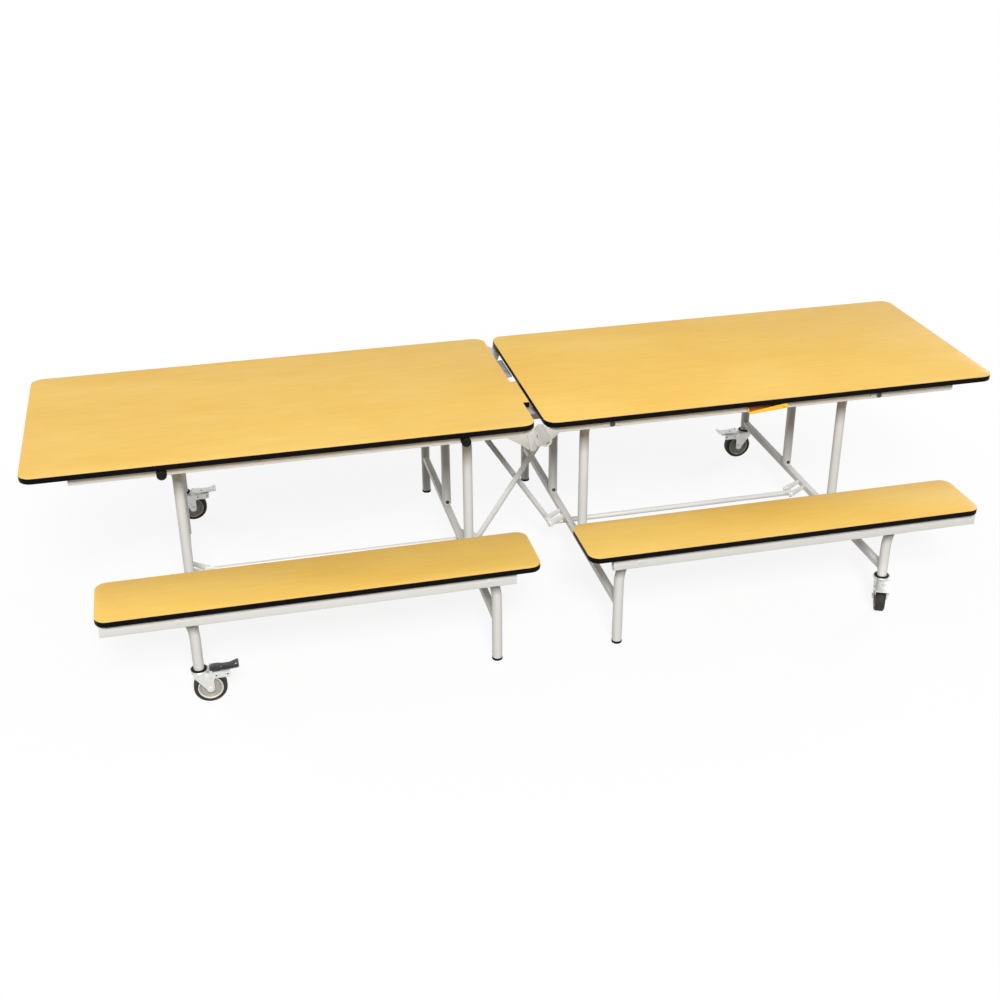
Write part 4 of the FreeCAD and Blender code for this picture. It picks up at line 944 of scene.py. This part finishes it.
def hull_plate(circles, ys, edge=0.6, steps=2):
    """Plate whose outline is drawn tight round some circles in X and Z."""
    shell = bmesh.new()
    for x, z, radius in circles:
        for y in ys:
            bmesh.ops.create_circle(shell, cap_ends=False, segments=56, radius=radius,
                                    matrix=Matrix.Translation((x, y, z)) @ ALONG_Y)
    bmesh.ops.convex_hull(shell, input=shell.verts[:])
    loose = [vert for vert in shell.verts if not vert.link_faces]
    bmesh.ops.delete(shell, geom=loose, context="VERTS")
    bmesh.ops.delete(shell, geom=[edge for edge in shell.edges if not edge.link_faces], context="EDGES")
    bmesh.ops.dissolve_limit(shell, angle_limit=math.radians(0.5), verts=shell.verts[:], edges=shell.edges[:])
    bmesh.ops.recalc_face_normals(shell, faces=shell.faces)
    if edge:
        bevelled(shell, sharp_edges(shell), edge, steps)
    return shell


def mirrored(shell):
    """The same shell for the other edge of the table."""
    copy = shell.copy()
    bmesh.ops.scale(copy, vec=(1.0, -1.0, 1.0), verts=copy.verts)
    bmesh.ops.reverse_faces(copy, faces=copy.faces)
    return copy


def both_edges(piece, shell):
    joined(piece, mirrored(shell))
    joined(piece, shell)


def left_hinge():
    piece = bmesh.new()
    gusset = [(-104.0, RAIL_BOTTOM), (16.0, RAIL_BOTTOM)] + arc(0.0, HINGE_Z, 16.0, 0, -100, 10)
    gusset += [(-36.0, 599.0), (-62.0, 620.0)]
    both_edges(piece, plate(gusset, GUSSET_YS, 0.7))
    blade = [(-44.0, UNDERSIDE - 0.3), (-13.0, UNDERSIDE - 0.3), (-9.0, 600.0), (-13.0, 594.0),
             (-27.0, 594.0), (-31.0, 600.0)]
    both_edges(piece, plate(blade, BLADE_YS, 0.7))
    both_edges(piece, hull_plate([(0.0, HINGE_Z, 9.0)], BLADE_YS, 0.3))
    return piece


def tongue(depth):
    """Bearing plate and cover of one edge, drawn for the rear one."""
    piece = bmesh.new()
    circles = [TONGUE_LOW, TONGUE_TOPS[depth]]
    joined(piece, hull_plate(circles, TONGUE_YS, 0.5))
    cover = hull_plate(circles, COVER_YS, 0.0)
    face = max(faces_towards(cover, 1, 1), key=lambda item: item.calc_area())
    bmesh.ops.inset_region(cover, faces=[face], thickness=4.5, use_even_offset=True)
    pushed(cover, [face], (0.0, -2.6, 0.0))
    bmesh.ops.recalc_face_normals(cover, faces=cover.faces)
    bevelled(cover, sharp_edges(cover), 0.7, 3)
    joined(piece, cover)
    island = [(x, z, radius - 6.4) for x, z, radius in circles]
    # The sunk panel takes the darker grey of painted shade.
    joined(piece, hull_plate(island, (361.0, 363.4), 0.6, 3), 1)
    # A black mark in painted shade stands for the slot.
    joined(piece, hull_plate([(21.0, 618.0, 1.3), (29.0, 622.5, 1.3)], (362.0, 363.7), 0.2), 2)
    return piece


def right_hinge():
    piece = bmesh.new()
    both_edges(piece, box((SPACER_XS[0], BLADE_YS[0], SPACER_ZS[0]),
                          (SPACER_XS[1], TONGUE_YS[0], SPACER_ZS[1])))
    arm = [(0.0, 615.0), (18.0, 611.0)] + [(SPACER_XS[1], z) for z in SPACER_ZS]
    arm.append((18.0, SPACER_ZS[1]))
    both_edges(piece, plate(arm, (TONGUE_YS[0] + 0.1, TONGUE_YS[1] - 0.1), 0.6))
    both_edges(piece, hull_plate([(0.0, HINGE_Z, 16.0)], TONGUE_YS, 0.5))
    front = tongue(FRONT)
    moved_in(piece, mirrored(front))
    front.free()
    moved_in(piece, tongue(REAR))
    return piece


def hinge_pins():
    piece = bmesh.new()
    both_edges(piece, cross_rod(0.0, HINGE_Z, (GUSSET_YS[0], 359.5), 5.0, 0.4, 24))
    dome = lathe([(0.0, 0.0), (8.0, 0.0), (8.0, 1.2), (7.2, 2.0), (5.0, 2.5), (0.0, 2.5)], 32)
    dome.transform(Matrix.Translation((0.0, GUSSET_YS[0], HINGE_Z)) @ LAID_FLAT)
    both_edges(piece, dome)
    return piece


finished("left_hinge_steel", left_hinge(), RIGHT, "left_top", (HINGE_GREY_PAINTED_SHADE,),
         "left_hinge_plates")
finished("right_hinge_steel", right_hinge(), RIGHT, "right_top",
         (HINGE_GREY_PAINTED_SHADE, RECESS_PAINTED_SHADE, SLOT_PAINTED_SHADE), "right_hinge_plates")
finished("centre_hinge_pins", hinge_pins(), RIGHT, "left_top", (ZINC,), "hinge_pins")


# ---- Plates in the gap -------------------------------------------------------
# Two flat steel plates welded to the left top's first cross rail.  They reach
# across the gap beside the tab, so that the right top comes to rest on them.
GAP_PLATE_XS = (-49.5, 15.0)
GAP_PLATE_YS = ((-250.0, -7.0), (60.0, 207.0))
GAP_PLATE_Z = 671.0
PLATE_STEEL = mottled("plate_steel", (0.36, 0.335, 0.30), (0.50, 0.475, 0.44), 18.0,
                      (0.38, 0.55), 700.0, 0.00006, metal=0.55)


def rounded_plate(low, high, axis):
    """Flat plate with rounded corners about one axis and eased edges."""
    shell = box(low, high)
    bevelled(shell, edges_along(shell, axis), 3.0, 4)
    bevelled(shell, sharp_edges(shell, 70.0), 0.5, 2)
    return shell


def gap_plates():
    piece = bmesh.new()
    for number, ys in enumerate(GAP_PLATE_YS):
        joined(piece, rounded_plate((GAP_PLATE_XS[0], ys[0], GAP_PLATE_Z),
                                    (GAP_PLATE_XS[1], ys[1], UNDERSIDE - SEAM), 2))
        weld = [(GAP_PLATE_XS[0] - 0.1, y, GAP_PLATE_Z + 0.6) for y in (ys[0] + 10.0, ys[1] - 10.0)]
        joined(piece, bead(weld, 1.6, 90 + number, closed=False))
    return piece


finished("gap_steel_plates", gap_plates(), RIGHT, "left_top", (PLATE_STEEL,),
         "left_gap_plates")


# ---- Buffers and plates at the top pivots ------------------------------------
# Black rubber stops over the pin ends on the left half, each with a shallow
# recess in its face, and flat steel plates under the pin heads on the right.
PIVOT_XS = (MID_X + SPREAD, END_X + SPREAD)


def buffers():
    piece = bmesh.new()
    profile = [(0.0, 0.0), (14.2, 0.0), (15.0, 0.8), (15.0, 22.6), (14.6, 24.4), (13.4, 25.6),
               (11.8, 26.0), (10.8, 25.6), (10.4, 24.6), (3.2, 24.4), (2.8, 23.0), (0.0, 23.0)]
    for x in PIVOT_XS:
        for depth in (FRONT, REAR):
            place = Matrix.Translation((-x, depth * RAIL_OUTER, TOP_PIVOT_Z))
            turn = Matrix.Rotation(math.radians(-90.0 * depth), 4, "X")
            joined(piece, lathe(profile, 40), 0, place @ turn)
    return piece


def pivot_plates():
    piece = bmesh.new()
    for x in PIVOT_XS:
        for depth in (FRONT, REAR):
            face = depth * (RAIL_OUTER + PIVOT_PLATE)
            ys = sorted((depth * RAIL_OUTER, face))
            joined(piece, rounded_plate((x - 30.0, ys[0], TOP_PIVOT_Z - 8.0),
                                        (x + 30.0, ys[1], TOP_PIVOT_Z + 8.0), 1))
            for step in (-22.0, 22.0):
                pin_head(piece, (x + step, face, TOP_PIVOT_Z), depth, 3.4, 1.6)
    return piece


finished("pivot_rubber_stops", buffers(), RIGHT, "left_top", (RUBBER,),
         "left_pivot_buffers")
finished("pivot_steel_plates", pivot_plates(), RIGHT, "right_top", (PAINT,),
         "right_pivot_plates")


# ---- Release lever -----------------------------------------------------------
# A pressed steel channel, painted yellow, whose inside is coloured a dark orange-brown
# as painted shade.  It turns on a pin in a lug welded to the front rail, its open side
# faces up, its front wall is the lower one, and its free end hangs down a little.
LEVER_X, LEVER_Y, LEVER_Z = 814.0, -364.5, 665.0
LEVER_LENGTH = 124.0
LEVER_HALF = 9.0
LEVER_PIN_END = -374.0
LEVER_TURN = (Matrix.Translation((LEVER_X, 0.0, LEVER_Z)) @ Matrix.Rotation(math.radians(-4.0), 4, "Y")
              @ Matrix.Translation((-LEVER_X, 0.0, -LEVER_Z)))
YELLOW = mottled("yellow_paint", (0.84, 0.46, 0.010), (0.93, 0.58, 0.020), 16.0,
                 (0.28, 0.40), 900.0, 0.00005, coat=0.3)
# Dark orange-brown for the inside of the channel: painted shade under the top's edge.
LEVER_PAINTED_SHADE = mottled("orange_ground_coat", (0.36, 0.095, 0.014), (0.47, 0.140, 0.022), 22.0,
                      (0.40, 0.55), 900.0, 0.00005)


def lever_height(x, y):
    """Height of the channel's rim over its base: low in front, high at the back."""
    along = (x - LEVER_X + LEVER_LENGTH) / LEVER_LENGTH
    front = 8.0 + 9.0 * along
    back = 19.0 - along
    across = min(1.0, max(0.0, (y - LEVER_Y + 4.0) / 8.0))
    return front + (back - front) * across


def lever():
    piece = bmesh.new()
    low = LEVER_Z - LEVER_HALF
    ys = (LEVER_Y - LEVER_HALF, LEVER_Y + LEVER_HALF)
    shell = box((LEVER_X - LEVER_LENGTH, ys[0], low), (LEVER_X - 6.0, ys[1], low + 15.0))
    upright = [edge for edge in edges_along(shell, 2) if edge.verts[0].co.x < LEVER_X - 100.0]
    bevelled(shell, upright, 5.0, 5)
    top = faces_towards(shell, 2, 1)
    bmesh.ops.inset_region(shell, faces=top, thickness=2.6, use_even_offset=True)
    rim_verts = [vert for vert in shell.verts if vert.co.z > low + 14.0]
    inside = pushed(shell, top, (0.0, 0.0, -12.0))
    for vert in rim_verts:
        if vert.is_valid and vert not in inside:
            vert.co.z = low + lever_height(vert.co.x, vert.co.y)
    bmesh.ops.recalc_face_normals(shell, faces=shell.faces)
    bevelled(shell, sharp_edges(shell), 0.9, 3)
    joined(piece, shell)
    # Faces inside the channel take the dark orange-brown of painted shade.
    for face in piece.faces:
        centre = face.calc_center_median()
        if (abs(centre.y - LEVER_Y) < 7.2 and centre.z > low + 1.0
                and centre.x > LEVER_X - LEVER_LENGTH + 2.0 and face.normal.x > -0.5):
            face.material_index = 1
    joined(piece, cross_rod(LEVER_X, LEVER_Z, ys, LEVER_HALF, 1.0, 40))
    piece.transform(LEVER_TURN)
    return piece


def lever_lug():
    piece = bmesh.new()
    outline = lug_outline(LEVER_X, LEVER_Z, LEVER_HALF, UNDERSIDE, LEVER_HALF)
    lug_ys = (-RAIL_OUTER - 3.0, -RAIL_OUTER)
    joined(piece, plate(outline, lug_ys, 0.5))
    joined(piece, cross_rod(LEVER_X, LEVER_Z, (LEVER_PIN_END, lug_ys[0]), 4.0, 0.2, 20), 1)
    pin_head(piece, (LEVER_X, LEVER_PIN_END, LEVER_Z), FRONT, 6.4, 2.5, 2)
    return piece


finished("yellow_release_lever", lever(), RIGHT, "lever", (YELLOW, LEVER_PAINTED_SHADE),
         "release_lever")
finished("lever_lug_and_pin", lever_lug(), RIGHT, "right_top", (PAINT, ZINC, YELLOW),
         "lever_mount")


# ---- Casters -----------------------------------------------------------------
# Pressed steel forks, zinc plated, that turn on races under the end posts.  The
# wheels have a dished plastic centre with a rubber tyre moulded on and run on an
# axle with domed nuts, and a pedal that lies on the crown works the brake.
WHEEL = 50.0
TRAIL = 28.0
CROWN, CROWN_RADIUS = 106.0, 27.0
FORK_IN, FORK_OUT = 19.5, 22.0
PEDAL_X, PEDAL_Z = 33.0, 109.5
FORK_RIVETS = ((48.0, 96.0), (82.0, 97.0))
PEDAL_BEND, PEDAL_RISE = 91.0, 6.0 / 27.0
PEDAL_HOLES = (109.0, 64.0)
HEADINGS = {(LEFT, FRONT): 0.0, (LEFT, REAR): 0.0, (RIGHT, FRONT): -115.0, (RIGHT, REAR): 180.0}
TYRE = mottled("dark_tyre", (0.026, 0.023, 0.021), (0.040, 0.036, 0.033), 60.0,
               (0.5, 0.7), 700.0, 0.0001, shine=0.3)
HUB_PLASTIC = mottled("wheel_plastic", (0.36, 0.335, 0.29), (0.43, 0.40, 0.35), 40.0,
                      (0.42, 0.58), 600.0, 0.00006)
RIM_PLASTIC = mottled("wheel_rim", (0.66, 0.65, 0.60), (0.74, 0.73, 0.68), 40.0,
                      (0.38, 0.5), 600.0, 0.00006)
GUNMETAL = mottled("gunmetal", (0.10, 0.10, 0.105), (0.17, 0.17, 0.175), 70.0,
                   (0.28, 0.42), 900.0, 0.00005, metal=0.8)


def crown_plate():
    """Flat top of the fork: a disc under the race that runs on over the wheel."""
    back = math.degrees(math.acos(math.sqrt(CROWN_RADIUS ** 2 - FORK_OUT ** 2) / CROWN_RADIUS))
    outline = arc(0.0, 0.0, CROWN_RADIUS, back, 360.0 - back, 12)
    outline += [(86.0, -FORK_OUT), (90.0, -18.0), (90.0, 18.0), (86.0, FORK_OUT)]
    shell = plate(outline, (0.0, 2.5), 0.7)
    shell.transform(Matrix.Translation((0.0, 0.0, CROWN)) @ LAID_FLAT)
    return shell


def fork():
    piece = bmesh.new()
    joined(piece, crown_plate())
    top = CROWN - 1.0
    side_outline = ([(-19.0, top), (-19.0, CROWN - 9.0)] + arc(TRAIL, WHEEL, 12.0, 180.0, 360.0)
                    + arc(48.0, 78.0, 8.0, 180.0, 90.0)[:-1] + [(56.0, 86.0)]
                    + arc(82.0, 94.0, 8.0, 270.0, 360.0) + [(90.0, top), (38.5, top)]
                    + arc(PEDAL_X, PEDAL_Z, 4.5, 0.0, 180.0, 20) + [(27.5, top)])
    for step in (-1, 1):
        ys = sorted((step * FORK_IN, step * FORK_OUT))
        joined(piece, plate(side_outline, ys, 0.6))
        face = step * FORK_OUT
        hex_head(piece, (TRAIL, face, WHEEL), step, 9.0, 3.4)
        pin_head(piece, (TRAIL, face + step * 1.6, WHEEL), step, 6.6, 2.4)
        pin_head(piece, (PEDAL_X, face, PEDAL_Z), step, 3.2, 1.5)
        for x, z in FORK_RIVETS:
            pin_head(piece, (x, face - step * 0.2, z), step, 2.6, 1.3, 1)
    joined(piece, cross_rod(TRAIL, WHEEL, (-FORK_OUT, FORK_OUT), 6.0, 0.0, 24))
    joined(piece, cross_rod(PEDAL_X, PEDAL_Z, (-FORK_OUT, FORK_OUT), 1.8, 0.0, 16))
    race = lathe([(0.0, 105.5), (25.4, 105.5), (26.0, 106.2), (25.6, 107.4), (24.6, 107.9), (24.6, 108.4),
                  (25.8, 108.9), (26.0, 109.8), (25.2, 110.5), (0.0, 110.5)])
    joined(piece, race)
    return piece


def both_halves(half):
    """An outline from one half of it, whose second values are mirrored."""
    return half + [(first, -second) for first, second in reversed(half)]


def tyre():
    """Tyre with rounded shoulders, two fine tread lines and a raised side ring."""
    half = [(38.0, 15.2), (38.6, 16.0), (40.6, 16.0), (41.2, 15.3), (42.2, 15.3), (42.8, 15.8),
            (45.0, 15.8), (47.0, 15.0), (48.8, 13.4), (49.7, 11.4), (50.0, 8.6), (49.3, 8.2),
            (49.3, 7.4), (50.0, 7.0), (50.0, 0.4)]
    return lathe(both_halves(half), 72, closed=True)


def wheel_centre():
    """Rim, dished web and hub, with a fine step round the web and a pale rim."""
    half = [(6.05, 18.6), (6.5, 19.0), (12.2, 19.0), (13.0, 18.2), (13.6, 10.6), (15.0, 9.0),
            (21.0, 8.2), (27.6, 8.4), (28.2, 9.6), (29.4, 9.8), (30.2, 8.8), (31.6, 8.8),
            (32.4, 9.6), (33.2, 13.8), (34.0, 15.4), (35.0, 16.0), (37.4, 16.0), (37.9, 15.3)]
    piece = bmesh.new()
    joined(piece, lathe(both_halves(half), 72, closed=True))
    for face in piece.faces:
        centre = face.calc_center_median()
        if math.hypot(centre.x, centre.y) > 32.9:
            face.material_index = 1
    return piece


def drilled(piece, drills):
    """Cuts round holes right through a piece."""
    target, cutter = placed("blank", piece), placed("drill", drills)
    cut = target.modifiers.new("holes", "BOOLEAN")
    cut.object = cutter
    cut.solver = "EXACT"
    cut.operation = "DIFFERENCE"
    bpy.context.view_layer.update()
    result = bpy.data.meshes.new_from_object(target.evaluated_get(bpy.context.evaluated_depsgraph_get()))
    made = bmesh.new()
    made.from_mesh(result)
    for mesh in (target.data, cutter.data, result):
        bpy.data.meshes.remove(mesh)
    return made


def pedal():
    """Long pressed pedal, wide over the crown and at its raised tip, on a barrel."""
    half = [(PEDAL_X, 18.8), (38.2, 18.8), (38.2, 21.8), (58.0, 21.8), (61.0, 20.4), (64.0, 18.0),
            (89.5, 18.0), (112.2, 22.8), (115.0, 22.5), (116.8, 20.8), (117.6, 18.4)]
    shell = plate(both_halves(half), (0.0, 3.0), 0.0)
    shell.transform(Matrix.Translation((0.0, 0.0, PEDAL_Z)) @ LAID_FLAT)
    cut_across(shell, (PEDAL_BEND, 0.0, 0.0), (1.0, 0.0, 0.0))
    for vert in shell.verts:
        if vert.co.x > PEDAL_BEND:
            vert.co.z += (vert.co.x - PEDAL_BEND) * PEDAL_RISE
    bmesh.ops.recalc_face_normals(shell, faces=shell.faces)
    bevelled(shell, sharp_edges(shell), 0.5, 2)
    drills = bmesh.new()
    for x in PEDAL_HOLES:
        joined(drills, rod((x, 0.0, CROWN - 4.0), (x, 0.0, CROWN + 26.0), 4.0, 0.0, 28))
    piece = drilled(shell, drills)
    joined(piece, cross_rod(PEDAL_X, PEDAL_Z, (-19.0, 19.0), 3.0, 0.5, 24))
    return piece


for side in (LEFT, RIGHT):
    for depth in (FRONT, REAR):
        name = "caster_" + SIDE_NAMES[side] + "_" + DEPTH_NAMES[depth]
        place = (Matrix.Translation((side * END_X, depth * POST_Y, 0.0))
                 @ Matrix.Rotation(math.radians(HEADINGS[side, depth]), 4, "Z"))
        on_axle = place @ Matrix.Translation((TRAIL, 0.0, WHEEL)) @ ALONG_Y
        pedal_finish = GUNMETAL if (side, depth) == (LEFT, FRONT) else ZINC
        steel = fork()
        steel.transform(place)
        finished(name + "_fork_steel", steel, RIGHT, name + "_swivel", (ZINC, DARK_STEEL),
                 name + "_fork")
        ring = bmesh.new()
        joined(ring, tyre(), 0, on_axle)
        finished(name + "_rubber_tyre", ring, RIGHT, name + "_roller", (TYRE,), name + "_tyre")
        centre = wheel_centre()
        centre.transform(on_axle)
        finished(name + "_wheel_centre", centre, RIGHT, name + "_roller",
                 (HUB_PLASTIC, RIM_PLASTIC), name + "_wheel")
        lever_plate = pedal()
        lever_plate.transform(place)
        finished(name + "_brake_pedal", lever_plate, RIGHT, name + "_brake", (pedal_finish,),
                 name + "_pedal")
